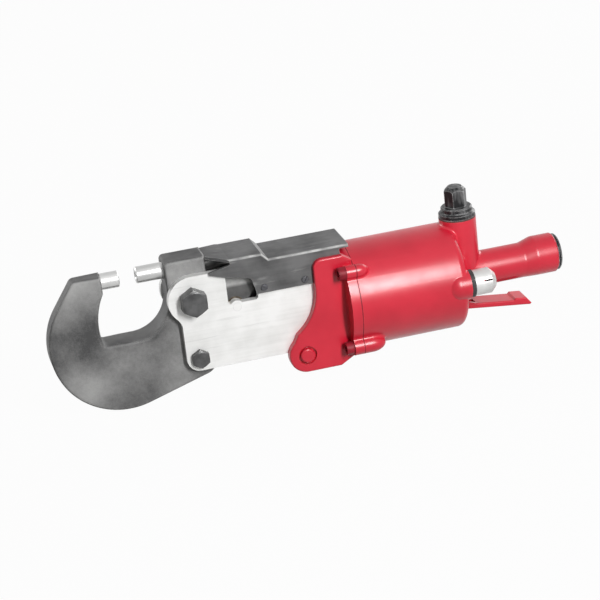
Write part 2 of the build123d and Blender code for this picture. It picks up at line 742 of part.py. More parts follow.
def rod_seal():
    """Ring seal round the rod, on the pressure side of the bush."""
    x0 = X_SPRING_SEAT - ROD_SEAL_WIDTH
    ring = bar_x(x0, X_SPRING_SEAT, ROD_R + ROD_SEAL_DEPTH)
    return ring - bar_x(x0 - 1, X_SPRING_SEAT + 1, ROD_R + FIT)


def piston_bumper():
    """Rubber ring that the piston comes back against."""
    ring = bar_x(X_BORE_REAR - BUMPER_T, X_BORE_REAR, BUMPER_R)
    return ring - bar_x(X_BORE_REAR - BUMPER_T - 1, X_BORE_REAR + 1, BUMPER_R / 2)


def piston():
    """Cup piston: a web on the rod, a skirt with the seal groove and a seat for the spring."""
    r = BORE_R - PISTON_GAP
    x_web = X_PISTON_FRONT + PISTON_LENGTH - PISTON_WEB
    body = bar_x(X_PISTON_FRONT, X_PISTON_REAR, r)
    hollow = bar_x(X_PISTON_FRONT - 1, x_web, r - PISTON_SKIRT)
    hollow -= bar_x(X_PISTON_FRONT - 1, X_PISTON_REAR, SPRING_R + 2 * SPRING_WIRE_R)
    body -= hollow
    x_groove = (X_PISTON_FRONT + X_PISTON_REAR - SEAL_WIDTH) / 2
    groove = bar_x(x_groove, x_groove + SEAL_WIDTH, BORE_R + 1)
    groove -= bar_x(x_groove, x_groove + SEAL_WIDTH, BORE_R - SEAL_DEPTH)
    body -= groove
    body -= bar_x(X_PISTON_FRONT - 1, X_PISTON_REAR + 1, ROD_END_R + FIT)
    return body - bar_x(X_PISTON_REAR - ROD_NUT_T - 1, X_PISTON_REAR + 1, ROD_NUT_AF / math.sqrt(3) + 1)


def piston_seal():
    """Seal ring in the piston's groove."""
    x0 = (X_PISTON_FRONT + X_PISTON_REAR - SEAL_WIDTH) / 2
    ring = bar_x(x0, x0 + SEAL_WIDTH, BORE_R - FIT)
    return ring - bar_x(x0 - 1, x0 + SEAL_WIDTH + 1, BORE_R - SEAL_DEPTH)


def piston_rod():
    """Rod from the piston to the crosshead, stepped at both ends."""
    x_thread = X_PISTON_REAR - 1
    rod = bar_x(X_CROSS_REAR, X_PISTON_FRONT, ROD_R)
    rod += bar_x(X_FORK + 1, X_CROSS_REAR, ROD_END_R)
    return rod + bar_x(X_PISTON_FRONT, x_thread, ROD_END_R)


def piston_nut():
    """Nut that holds the piston on its rod, sunk in the piston."""
    x0 = X_PISTON_REAR - ROD_NUT_T - 1
    plane = Plane(origin=(x0, 0, 0), x_dir=(0, 1, 0), z_dir=(1, 0, 0))
    nut = extrude(plane * RegularPolygon(ROD_NUT_AF / 2, 6, major_radius=False), amount=ROD_NUT_T)
    return nut - bar_x(x0 - 1, x0 + ROD_NUT_T + 1, ROD_END_R + FIT)


def piston_return_spring():
    """Coil between the front head and the piston."""
    start = (X_SPRING_SEAT + SPRING_WIRE_R + 2 * FIT, 0, 0)
    length = X_PISTON_FRONT - X_SPRING_SEAT - 2 * SPRING_WIRE_R - 4 * FIT
    return coil(start, (0, 1, 0), (1, 0, 0), SPRING_R, SPRING_WIRE_R, length, SPRING_TURNS)


def crosshead():
    """Fork on the rod's end that carries the two rollers."""
    h = CROSSHEAD_HALF_HEIGHT
    face = rect(X_CROSS_FRONT, X_CROSS_REAR, -h, h)
    for z in (-h, h):
        face = round_at(face, X_CROSS_FRONT, z, FORK_CORNER_R)
    body = slab(face, -FORK_OUT, FORK_OUT)
    body -= block(X_CROSS_FRONT - 1, X_FORK, -FORK_IN, FORK_IN, -h - 1, h + 1)
    body -= bar_x(X_FORK - 1, X_CROSS_REAR + 1, ROD_END_R + FIT)
    for z in (-ROLLER_Z, ROLLER_Z):
        body -= bar_y(X_ROLLER, z, ROLLER_PIN_R + FIT, -FORK_OUT - 1, FORK_OUT + 1)
    return body


def roller_pins():
    """Pins of the two rollers."""
    return [bar_y(X_ROLLER, z, ROLLER_PIN_R, -FORK_OUT, FORK_OUT) for z in (-ROLLER_Z, ROLLER_Z)]


def roller(z):
    """Hardened roller with rounded edges."""
    body = bar_y(X_ROLLER, z, ROLLER_R, -ROLLER_T / 2, ROLLER_T / 2)
    body = chamfer(body.edges().filter_by(GeomType.CIRCLE), ROLLER_GAP)
    return body - bar_y(X_ROLLER, z, ROLLER_PIN_R + FIT, -ROLLER_T, ROLLER_T)


def track_face(gap):
    """Section of the roller track, keyed into both side plates."""
    x0 = X_CROSS_FRONT - PISTON_STROKE
    return rect(x0 - gap, X_CROSS_REAR + gap, TRACK_TOP - TRACK_T - gap, TRACK_TOP + gap)


def roller_track():
    """Hard strip under the lower roller."""
    return slab(track_face(0), -Y_PLATE - TRACK_KEY, Y_PLATE + TRACK_KEY)


def cam_point(travel, gap):
    """Point of the rocker's cam, from the pivot, that the upper roller meets after some travel."""
    turn = -SWING * travel / PISTON_STROKE
    reach = X_ROLLER - X_PIVOT - travel
    height = ROLLER_Z - PIVOT_Z
    rate = SWING / PISTON_STROKE
    cx = reach * math.cos(turn) - height * math.sin(turn)
    cz = reach * math.sin(turn) + height * math.cos(turn)
    tx = -math.cos(turn) + rate * cz
    tz = -math.sin(turn) - rate * cx
    size = math.hypot(tx, tz)
    return cx + gap * tz / size, cz - gap * tx / size


def rocker_part(face, y0, y1):
    """Slab of the rocker drawn from its pivot."""
    return Pos(X_PIVOT, 0, PIVOT_Z) * slab(face, y0, y1)


def rocker():
    """Bell crank: a wide block on the pivot, two prongs at the plunger and a cam tail over the roller."""
    waist_x = HUB_R * math.cos(math.radians(BLOCK_WAIST))
    waist_z = HUB_R * math.sin(math.radians(BLOCK_WAIST))
    wide = disc(0, 0, HUB_R)
    wide += polygon(
        (-waist_x, waist_z),
        (-BLOCK_FRONT, BLOCK_HEIGHT),
        (BLOCK_REAR, BLOCK_HEIGHT),
        (BLOCK_REAR, HUB_R),
        (waist_x, waist_z),
    )
    wide = round_at(wide, BLOCK_REAR, BLOCK_HEIGHT, BLOCK_CORNER_R)
    wide = round_at(wide, -BLOCK_FRONT, BLOCK_HEIGHT, NOSE_R)
    body = rocker_part(wide, -Y_RUN, Y_RUN)
    rims = body.edges().filter_by(lambda e: abs(abs(e.center().Y) - Y_RUN) < FIT)
    body = fillet(rims.filter_by(lambda e: e.center().Z > PIVOT_Z + HUB_R), BLOCK_EDGE_R)
    lean = math.pi / 2 - SWING / 2
    stem = Rot(0, 0, math.degrees(lean)) * rect(HUB_R, ROCKER_ARM, -NOSE_STEM, NOSE_STEM)
    prong = stem + disc(NOSE_DX, NOSE_DZ, NOSE_R)
    y_in = NECK_T / 2 + NOSE_GAP
    body += both_sides(rocker_part(prong, -y_in - PRONG_T, -y_in))
    over = TAIL_OVERHANG * PISTON_STROKE / (X_ROLLER - X_PIVOT)
    first = cam_point(-over, ROLLER_R + CAM_GAP)
    middle = cam_point(PISTON_STROKE / 2, ROLLER_R + CAM_GAP)
    last = cam_point(PISTON_STROKE + over, ROLLER_R + CAM_GAP)
    tip_x = first[0]
    headroom = COVER_REAR_TOP - SHEET_T - 4 * CAM_GAP - PIVOT_Z
    tip_top = (headroom - tip_x * math.sin(SWING)) / math.cos(SWING)
    under = ThreePointArc(first, middle, last)
    tail = under + Polyline(last, (0, 0), (0, TAIL_ROOT_HEIGHT), (tip_x, tip_top), first)
    body += rocker_part(make_face(tail), -TAIL_T / 2, TAIL_T / 2)
    return body - bar_y(X_PIVOT, PIVOT_Z, PIVOT_PIN_R + PIVOT_BUSH_WALL, -Y_PLATE, Y_PLATE)


def rocker_bush():
    """Bronze bush in the rocker's hub."""
    bush = bar_y(X_PIVOT, PIVOT_Z, PIVOT_PIN_R + PIVOT_BUSH_WALL, -Y_RUN, Y_RUN)
    return bush - bar_y(X_PIVOT, PIVOT_Z, PIVOT_PIN_R + FIT, -Y_PLATE, Y_PLATE)


def rocker_pin():
    """Shouldered pivot pin between the plates."""
    pin = bar_y(X_PIVOT, PIVOT_Z, PIVOT_PIN_R, -Y_PLATE, Y_PLATE)
    return pin + bar_y(X_PIVOT, PIVOT_Z, PIVOT_END_R, -Y_SKIRT, Y_SKIRT)


def plunger():
    """Ram in the yoke's limb, with a necked tail that the rocker's prongs straddle."""
    x_end = X_BUTTON + BUTTON_T
    body = bar_x(X_PLUNGER, x_end, DIE_R, 0, PLUNGER_Z)
    body -= block(X_LIMB_REAR - TONGUE_GAP, x_end + 1, -DIE_R, DIE_R, TAIL_FLAT_Z, PLUNGER_Z + 2 * DIE_R)
    for side in (-1, 1):
        y0, y1 = sorted((side * NECK_T / 2, side * 2 * DIE_R))
        body -= block(X_SHOULDER, X_BUTTON, y0, y1, PLUNGER_Z - 2 * DIE_R, PLUNGER_Z + 2 * DIE_R)
    low = PLUNGER_Z - 2 * DIE_R
    body -= block(X_SHOULDER, X_BUTTON, -DIE_R, DIE_R, low, PLUNGER_Z - NECK_DROP)
    return body - bar_x(X_PLUNGER - 1, X_PLUNGER + DIE_SHANK_LENGTH + 1, DIE_SHANK_R + FIT, 0, PLUNGER_Z)


def die(x_seat, direction, length):
    """Rivet set: a round head with a cupped end and a slim shank behind its seat."""
    x_end = x_seat + direction * length
    return turned_x(
        [
            (x_seat - direction * DIE_SHANK_LENGTH, 0),
            (x_seat - direction * DIE_SHANK_LENGTH, DIE_SHANK_R),
            (x_seat, DIE_SHANK_R),
            (x_seat, DIE_R),
            (x_end - direction * DIE_EDGE, DIE_R),
            (x_end, DIE_R - DIE_EDGE),
            (x_end, DIE_CUP_R),
            (x_end - direction * DIE_CUP_DEPTH * DIE_CUP_BREAK, DIE_CUP_R * DIE_CUP_BREAK),
            (x_end - direction * DIE_CUP_DEPTH, 0),
        ],
        0,
        PLUNGER_Z,
    )


def yoke_face():
    """Side outline of the C-yoke."""
    belly = (X_JAW + BELLY_BEHIND_JAW, THROAT_Z + BELLY_RISE)
    heel = (X_LIMB_REAR, PLATE_BOTTOM - YOKE_HEEL_DROP)
    jaw_back = (X_JAW - JAW_LENGTH, JAW_TOP)
    low, low_angle = tangent_point(belly, BELLY_R, heel, -1)
    high, high_angle = tangent_point(belly, BELLY_R, jaw_back, 1)
    half = (high_angle + low_angle + 2 * math.pi) / 2
    belly_mid = (belly[0] + BELLY_R * math.cos(half), belly[1] + BELLY_R * math.sin(half))
    corner = (X_JAW - JAW_HEEL, THROAT_Z)
    seat_foot = (X_JAW, PLUNGER_Z - DIE_R - SEAT_MARGIN)
    relief = (X_JAW - JAW_RELIEF, (THROAT_Z + seat_foot[1]) / 2)
    turn_x = X_LIMB - THROAT_R
    turn_mid = (turn_x + THROAT_R * math.sqrt(0.5), THROAT_Z + THROAT_R * (1 - math.sqrt(0.5)))
    side = Polyline((X_LIMB_REAR, LIMB_TOP), (X_LIMB, LIMB_TOP), (X_LIMB, THROAT_Z + THROAT_R))
    side += ThreePointArc((X_LIMB, THROAT_Z + THROAT_R), turn_mid, (turn_x, THROAT_Z))
    side += Line((turn_x, THROAT_Z), corner)
    side += ThreePointArc(corner, relief, seat_foot)
    side += Polyline(seat_foot, (X_JAW, JAW_TOP), jaw_back, high)
    side += ThreePointArc(high, belly_mid, low)
    side += Polyline(low, heel, (X_LIMB_REAR, LIMB_TOP))
    face = make_face(side)
    face = round_at(face, *corner, THROAT_CORNER_R)
    face = round_at(face, *jaw_back, JAW_CORNER_R)
    face = round_at(face, X_LIMB, LIMB_TOP, LIMB_CORNER_R)
    return round_at(face, *heel, YOKE_HEEL_R)


def jaw_taper():
    """Wedge beside the jaw: the yoke thins from the throat's floor to the jaw's tip."""
    foot = Vector(X_JAW + JAW_TAPER_START, 0, THROAT_Z)
    tip = Vector(X_JAW - JAW_LENGTH, 0, JAW_TOP)
    up = (tip - foot).normalized()
    reach = 2 * (tip - foot).length
    thin = Y_PLATE - (YOKE_T - JAW_TIP_T)
    across = up.cross(Vector(0, 1, 0))
    plane = Plane(origin=foot - across * THROAT_R, x_dir=up, z_dir=across)
    far = -2 * Y_PLATE
    wedge = make_face(Polyline((0, -Y_PLATE), (reach, -thin), (reach, far), (0, far), close=True))
    return extrude(plane * wedge, amount=3 * BELLY_R)


def yoke():
    """Forged C-yoke: jaw for the fixed die, deep throat and a limb that guides the plunger."""
    body = slab(yoke_face(), -Y_PLATE, Y_PLATE)
    body -= both_sides(jaw_taper())
    body = fillet([edge for edge in body.edges() if abs(edge.center().Y) > 1], YOKE_EDGE_R)
    body -= bar_x(X_LIMB - 1, X_LIMB_REAR + 1, DIE_R + FIT, 0, PLUNGER_Z)
    body -= bar_x(X_JAW - DIE_SHANK_LENGTH - 1, X_JAW + 1, DIE_SHANK_R + FIT, 0, PLUNGER_Z)
    body -= bar_y(X_BOLTS, HEX_BOLT_Z, HEX_BOLT_R + FIT, -YOKE_T, YOKE_T)
    return body - bar_y(X_BOLTS, LOWER_BOLT_Z, LOWER_BOLT_R + FIT, -YOKE_T, YOKE_T)


def side_bolt(z, r, flats, head_h, nut_h):
    """Hex bolt across both plates, head on the near side."""
    bolt = hex_y(X_BOLTS, z, flats, -Y_SKIRT - head_h, -Y_SKIRT, -Y_SKIRT - head_h)
    return bolt + bar_y(X_BOLTS, z, r, -Y_SKIRT, Y_SKIRT + nut_h + BOLT_END)


def side_nut(z, r, flats, nut_h):
    """Nut of a side bolt on the far plate."""
    nut = hex_y(X_BOLTS, z, flats, Y_SKIRT, Y_SKIRT + nut_h, Y_SKIRT + nut_h)
    return nut - bar_y(X_BOLTS, z, r + FIT, Y_SKIRT - 1, Y_SKIRT + nut_h + 1)


def plate_face():
    """Outline of one side plate: lobes at the yoke bolts, the ear and the pivot, and the rocker's notch."""
    x_front = X_BOLTS - LOWER_LOBE_R
    x_notch0 = X_PIVOT - NOTCH_AHEAD
    x_notch1 = X_PIVOT + NOTCH_BEHIND
    face = disc(X_BOLTS, HEX_BOLT_Z, LOBE_R) + disc(X_BOLTS, LOWER_BOLT_Z, LOWER_LOBE_R)
    face += rect(x_front, X_PLATE_REAR, LOWER_BOLT_Z, NOTCH_Z)
    face += rect(X_BOLTS, X_PLATE_REAR, PLATE_BOTTOM, LOWER_BOLT_Z)
    face += rect(X_BOLTS, x_notch0, NOTCH_Z, HEX_BOLT_Z + LOBE_R)
    face += rect(x_notch1, X_PLATE_REAR, NOTCH_Z, PLATE_REAR_TOP)
    face += disc(X_EAR_BOLT, EAR_BOLT_Z, PLATE_EAR_LOBE_R)
    face += disc(X_PIVOT, PIVOT_Z, PIVOT_LOBE_R)
    drop = math.sqrt(LOBE_R**2 - LOWER_LOBE_R**2)
    face = round_at(face, x_front, HEX_BOLT_Z - drop, LOBE_BLEND_R)
    face = round_at(face, x_notch0, NOTCH_Z, NOTCH_CORNER_R)
    face = round_at(face, x_notch0, HEX_BOLT_Z + LOBE_R, NOTCH_CORNER_R)
    return round_at(face, x_notch1, NOTCH_Z, NOTCH_CORNER_R)


def side_plate():
    """Near side plate."""
    plate = slab(plate_face(), -Y_SKIRT, -Y_PLATE)
    plate -= bar_y(X_BOLTS, HEX_BOLT_Z, HEX_BOLT_R + FIT, -Y_EAR, 0)
    plate -= bar_y(X_BOLTS, LOWER_BOLT_Z, LOWER_BOLT_R + FIT, -Y_EAR, 0)
    plate -= bar_y(X_EAR_BOLT, EAR_BOLT_Z, EAR_BOLT_R + FIT, -Y_EAR, 0)
    plate -= bar_y(X_PIVOT, PIVOT_Z, PIVOT_END_R + FIT, -Y_EAR, 0)
    plate -= slab(track_face(FIT), -Y_PLATE - TRACK_KEY - FIT, 0)
    plate -= bar_y(X_HEAD_FRONT - DOWEL_BACK, DOWEL_Z, DOWEL_R + FIT, -Y_EAR, -Y_SKIRT + DOWEL_LENGTH / 2)
    for behind in COVER_SCREW_BEHIND:
        x = X_PIVOT + behind
        plate -= bar_y(x, COVER_SCREW_Z, COVER_SCREW_R + FIT, -Y_EAR, -Y_COVER + COVER_SCREW_LENGTH)
    return plate


def plate_dowels():
    """Dowels that locate the plates in the ears."""
    x = X_HEAD_FRONT - DOWEL_BACK
    half = DOWEL_LENGTH / 2 - FIT
    near = bar_y(x, DOWEL_Z, DOWEL_R, -Y_SKIRT - half, -Y_SKIRT + half)
    return [near, mirror(near, about=Plane.XZ)]


def ear_bolt():
    """Through bolt of the ears, its head in the near ear's recess."""
    y_seat = -Y_EAR + EAR_RECESS_DEPTH
    head = bar_y(X_EAR_BOLT, EAR_BOLT_Z, EAR_BOLT_HEAD_R, y_seat - EAR_BOLT_HEAD_H, y_seat)
    head = fillet(head.edges().filter_by(GeomType.CIRCLE).sort_by(Axis.Y)[0], EAR_BOLT_EDGE_R)
    return head + bar_y(X_EAR_BOLT, EAR_BOLT_Z, EAR_BOLT_R, y_seat, Y_EAR + EAR_BOLT_HEAD_H)


def ear_nut():
    """Nut of the through bolt, in the far ear's recess."""
    y_seat = Y_EAR - EAR_RECESS_DEPTH
    y_end = y_seat + EAR_BOLT_HEAD_H + 1
    nut = hex_y(X_EAR_BOLT, EAR_BOLT_Z, EAR_NUT_AF, y_seat, y_end, y_end)
    return nut - bar_y(X_EAR_BOLT, EAR_BOLT_Z, EAR_BOLT_R + FIT, y_seat - 1, y_end + 1)


def ear_spacer():
    """Tube on the through bolt that keeps the plates apart."""
    tube = bar_y(X_EAR_BOLT, EAR_BOLT_Z, EAR_SPACER_R, -Y_PLATE, Y_PLATE)
    return tube - bar_y(X_EAR_BOLT, EAR_BOLT_Z, EAR_BOLT_R + FIT, -Y_EAR, Y_EAR)


def cover():
    """Folded sheet over the mechanism: tongue, raised bay, step, and a tipped skirt outside each plate."""
    x_rise = X_PIVOT - RISE_AHEAD
    x_step = X_PIVOT + RISE_BEHIND
    x_tongue = X_LIMB_REAR + TONGUE_GAP
    x_rear = X_HEAD_FRONT + COVER_OVERLAP
    line = [
        (x_tongue, TONGUE_TOP),
        (x_rise, COVER_TOP),
        (x_step, COVER_TOP),
        (x_step + STEP_RUN, COVER_REAR_TOP),
        (x_rear, COVER_REAR_TOP),
    ]
    under = [(x, z - SHEET_T) for x, z in reversed(line)]
    x_skirt_rear = X_HEAD_FRONT - SKIRT_GAP
    x_arch_end = X_PIVOT + ARCH_END_BEHIND
    x_arch = X_PIVOT - ARCH_AHEAD
    x_corner = X_PIVOT + ARCH_CORNER_BEHIND
    arch_slope = (ARCH_CORNER_Z - ARCH_Z) / (x_corner - x_arch)
    skirt = polygon(
        (x_rise, COVER_TOP),
        (x_rise, ARCH_Z + arch_slope * (x_rise - x_arch)),
        (x_corner, ARCH_CORNER_Z),
        (x_arch_end, ARCH_END_Z),
        (x_arch_end, SKIRT_Z),
        (x_skirt_rear, SKIRT_Z),
        (x_skirt_rear, COVER_REAR_TOP),
        (x_step + STEP_RUN, COVER_REAR_TOP),
        (x_step, COVER_TOP),
    )
    skirt = round_at(skirt, x_corner, ARCH_CORNER_Z, ARCH_CORNER_R)
    x_root = x_rise + BEND_R
    x_tip = X_PIVOT - SKIRT_TIP_AHEAD
    tip = polygon(
        (x_root, COVER_TOP - 2 * BEND_R),
        (x_tip, SKIRT_TIP_Z),
        (x_tip, SKIRT_TIP_Z - SKIRT_TIP_END),
        (x_arch, ARCH_Z),
        (x_root, ARCH_Z + arch_slope * (x_root - x_arch)),
    )
    body = slab(polygon(*line, *under), -Y_COVER, Y_COVER)
    body += both_sides(slab(skirt, -Y_COVER, -Y_SKIRT))
    long_edges = body.edges().filter_by(lambda e: abs(abs(e.center().Y) - Y_COVER) < FIT)
    middles = [((x0 + x1) / 2, (z0 + z1) / 2) for (x0, z0), (x1, z1) in zip(line, line[1:])]
    bends = []
    for edge in long_edges:
        spot = edge.center()
        bends += [edge for x, z in middles if math.hypot(spot.X - x, spot.Z - z) < FIT]
    body = fillet(bends, BEND_R)
    plan = Polyline(
        (x_tongue, -TONGUE_HALF),
        (x_rise, -Y_COVER),
        (x_rear, -Y_COVER),
        (x_rear, Y_COVER),
        (x_rise, Y_COVER),
        (x_tongue, TONGUE_HALF),
        close=True,
    )
    body &= extrude(make_face(plan), amount=2 * LIMB_TOP)
    body += both_sides(slab(tip, -Y_COVER, -Y_SKIRT))
    for behind in COVER_SCREW_BEHIND:
        x = X_PIVOT + behind
        body -= bar_y(x, COVER_SCREW_Z, COVER_SCREW_R + FIT, -Y_EAR, Y_EAR)
    return body


def cover_screws():
    """Two small screws on each side of the cover."""
    screws = []
    for behind in COVER_SCREW_BEHIND:
        x = X_PIVOT + behind
        shank_end = -Y_COVER + COVER_SCREW_LENGTH - FIT
        head = bar_y(x, COVER_SCREW_Z, COVER_SCREW_HEAD_R, -Y_COVER - COVER_SCREW_HEAD_H, -Y_COVER)
        head = chamfer(head.edges().filter_by(GeomType.CIRCLE).sort_by(Axis.Y)[0], COVER_SCREW_HEAD_H / 2)
        screw = head + bar_y(x, COVER_SCREW_Z, COVER_SCREW_R, -Y_COVER, shank_end)
        screws.append(screw)
        screws.append(mirror(screw, about=Plane.XZ))
    return screws


def valve_seat():
    """Brass ring that the throttle valve closes on."""
    ring = bar_z(X_STUB, 0, CHAMBER_R, SEAT_Z - SEAT_T, SEAT_Z)
    return ring - bar_z(X_STUB, 0, SEAT_HOLE_R, SEAT_Z - SEAT_T - 1, SEAT_Z + 1)


def stem_bush():
    """Bronze guide of the valve stem."""
    bush = bar_z(X_STUB, 0, GUIDE_BUSH_R, GUIDE_BOTTOM, GUIDE_TOP)
    return bush - bar_z(X_STUB, 0, STEM_R + FIT, GUIDE_BOTTOM - 1, GUIDE_TOP + 1)


def stem_foot_z(slope):
    """Height of the centre of the stem's round foot when the lever lies at a slope."""
    slope = math.radians(slope)
    off = STEM_R + CAM_GAP + LEVER_WEB_T - LEVER_EYE_R
    return LEVER_PIVOT_Z + (X_STUB - X_LEVER) * math.tan(slope) + off / math.cos(slope)


def throttle_valve():
    """Poppet valve with its long stem, which the lever lifts by a round foot."""
    z_foot = stem_foot_z(-LEVER_SLOPE)
    body = turned_z(
        [
            (0, z_foot),
            (STEM_R, z_foot),
            (STEM_R, SEAT_Z + CAM_GAP),
            (VALVE_R, SEAT_Z + CAM_GAP),
            (VALVE_R, SEAT_Z + VALVE_T),
            (VALVE_PILOT_R, SEAT_Z + VALVE_T),
            (VALVE_PILOT_R, SEAT_Z + VALVE_T + VALVE_PILOT_LENGTH),
            (0, SEAT_Z + VALVE_T + VALVE_PILOT_LENGTH),
        ],
        X_STUB,
    )
    return body + Pos(X_STUB, 0, z_foot) * Sphere(STEM_R)


def valve_spring():
    """Coil that closes the throttle valve."""
    z0 = SEAT_Z + VALVE_T + VALVE_WIRE_R + 2 * FIT
    z1 = STUB_TOP - VALVE_WIRE_R - 2 * FIT
    return coil((X_STUB, 0, z0), (1, 0, 0), (0, 0, 1), VALVE_SPRING_R, VALVE_WIRE_R, z1 - z0, VALVE_TURNS)


def valve_cap():
    """Black two-step cap: collar, shoulder and hex head, with a spigot in the stub."""
    z0 = STUB_TOP + CAP_GASKET_T
    z1 = z0 + CAP_COLLAR_H
    z2 = z1 + CAP_SHOULDER_H
    body = turned_z(
        [
            (CAP_SPRING_R, STUB_TOP - CAP_SPIGOT_LENGTH),
            (CHAMBER_R - FIT, STUB_TOP - CAP_SPIGOT_LENGTH),
            (CHAMBER_R - FIT, z0),
            (CAP_COLLAR_R, z0),
            (CAP_COLLAR_R, z1 - CAP_COLLAR_EDGE),
            (CAP_COLLAR_R - CAP_COLLAR_EDGE, z1),
            (CAP_SHOULDER_R, z1),
            (CAP_SHOULDER_R, z2 - CAP_SHOULDER_EDGE),
            (CAP_SHOULDER_R - CAP_SHOULDER_EDGE, z2),
            (0, z2),
            (0, STUB_TOP),
            (CAP_SPRING_R, STUB_TOP),
        ],
        X_STUB,
    )
    hexagon = RegularPolygon(CAP_HEAD_AF / 2, 6, major_radius=False)
    head = extrude(Plane(origin=(X_STUB, 0, z2)) * hexagon, CAP_HEAD_H)
    crown_r = CAP_HEAD_AF / math.sqrt(3) + 1
    crown = turned_z(
        [
            (0, z2),
            (crown_r, z2),
            (crown_r, z2 + CAP_HEAD_H - 2 * CAP_HEAD_CHAMFER),
            (CAP_HEAD_AF / 2 - CAP_HEAD_CHAMFER, z2 + CAP_HEAD_H),
            (0, z2 + CAP_HEAD_H),
        ],
        X_STUB,
    )
    return body + (head & crown)


def valve_cap_gasket():
    """Washer under the valve cap's collar."""
    ring = bar_z(X_STUB, 0, STUB_R - FIT, STUB_TOP, STUB_TOP + CAP_GASKET_T)
    return ring - bar_z(X_STUB, 0, CHAMBER_R, STUB_TOP - 1, STUB_TOP + CAP_GASKET_T + 1)


def lever_pin():
    """Hinge pin of the throttle lever."""
    half = GUIDE_R + LEVER_SIDE_GAP + LEVER_CHEEK
    return bar_y(X_LEVER, LEVER_PIVOT_Z, LEVER_PIN_R, -half, half)


def throttle_lever():
    """Bar lever under the handle, forked at its hinge, with a stop pad near its tip; laid at its rest slope."""
    eye = LEVER_EYE_R
    top = LEVER_T - eye
    y_in = GUIDE_R + LEVER_SIDE_GAP
    y_out = y_in + LEVER_CHEEK
    outline = polygon(
        (0, eye),
        (LEVER_KNEE, top),
        (LEVER_PAD_START, top),
        (LEVER_PAD_START + LEVER_PAD_RUN, top + LEVER_PAD_RISE),
        (LEVER_PAD_END, top + LEVER_PAD_RISE),
        (LEVER_LENGTH, LEVER_TIP - eye),
        (LEVER_LENGTH - LEVER_TIP, -eye),
        (0, -eye),
    )
    bar = slab(outline, -y_out, y_out)
    rims = bar.edges().filter_by(lambda e: abs(abs(e.center().Y) - y_out) < FIT and e.center().X > FIT)
    bar = fillet(rims, LEVER_EDGE_R)
    hub = bar_y(0, 0, eye, -y_out, y_out)
    bar += fillet(hub.edges().filter_by(GeomType.CIRCLE), LEVER_EDGE_R)
    bar -= bar_y(0, 0, LEVER_PIN_R + FIT, -y_out - 1, y_out + 1)
    bar -= block(-eye - 1, LUG_R + LEVER_LUG_GAP, -y_in, y_in, -eye - 1, eye + 1)
    bar -= block(0, LEVER_POCKET, -y_in, y_in, LEVER_WEB_T - eye, eye + 1)
    return Pos(X_LEVER, 0, LEVER_PIVOT_Z) * Rot(0, LEVER_SLOPE, 0) * bar


def exhaust_gasket():
    """Black ring between the exhaust boss and its cap."""
    x0 = X_REAR + EXHAUST_BOSS_BEHIND
    ring = bar_x(x0, x0 + EXHAUST_GASKET_T, EXHAUST_GASKET_R, EXHAUST_Y, EXHAUST_Z)
    return ring - bar_x(x0 - 1, x0 + EXHAUST_GASKET_T + 1, EXHAUST_BORE_R + FIT, EXHAUST_Y, EXHAUST_Z)


def exhaust_cap():
    """Bright cup with slots round its wall, screwed into the boss."""
    x0 = X_REAR + EXHAUST_BOSS_BEHIND + EXHAUST_GASKET_T
    x1 = x0 + EXHAUST_CAP_LENGTH
    r_in = EXHAUST_CAP_R - EXHAUST_CAP_WALL
    r_spigot_in = EXHAUST_BORE_R - EXHAUST_CAP_WALL
    cap = turned_x(
        [
            (x0 - EXHAUST_GASKET_T - EXHAUST_SPIGOT, r_spigot_in),
            (x0 - EXHAUST_GASKET_T - EXHAUST_SPIGOT, EXHAUST_BORE_R),
            (x0, EXHAUST_BORE_R),
            (x0, EXHAUST_CAP_R),
            (x1 - EXHAUST_CAP_TAPER, EXHAUST_CAP_R),
            (x1, EXHAUST_CAP_R - EXHAUST_CAP_TAPER),
            (x1, 0),
            (x1 - EXHAUST_CAP_WALL, 0),
            (x1 - EXHAUST_CAP_WALL, r_in - EXHAUST_CAP_TAPER),
            (x1 - EXHAUST_CAP_TAPER, r_in),
            (x0 + EXHAUST_CAP_WALL, r_in),
            (x0 + EXHAUST_CAP_WALL, r_spigot_in),
        ],
        EXHAUST_Y,
        EXHAUST_Z,
    )
    x_slot = x0 + EXHAUST_CAP_LENGTH - EXHAUST_CAP_TAPER - EXHAUST_SLOT_L
    half = EXHAUST_SLOT_W / 2
    slot = block(x_slot, x_slot + EXHAUST_SLOT_L, -half, half, 0, 2 * EXHAUST_CAP_R)
    for step in range(EXHAUST_SLOTS):
        turn = EXHAUST_SLOT_TURN + 360 / EXHAUST_SLOTS * step
        cap -= Pos(0, EXHAUST_Y, EXHAUST_Z) * Rot(turn, 0, 0) * slot
    return cap


def silencer_felt():
    """Felt plug at the bottom of the exhaust boss."""
    x0 = X_REAR + EXHAUST_BOSS_BEHIND - EXHAUST_BORE_DEPTH
    return bar_x(x0, x0 + FELT_LENGTH, EXHAUST_BORE_R, EXHAUST_Y, EXHAUST_Z)


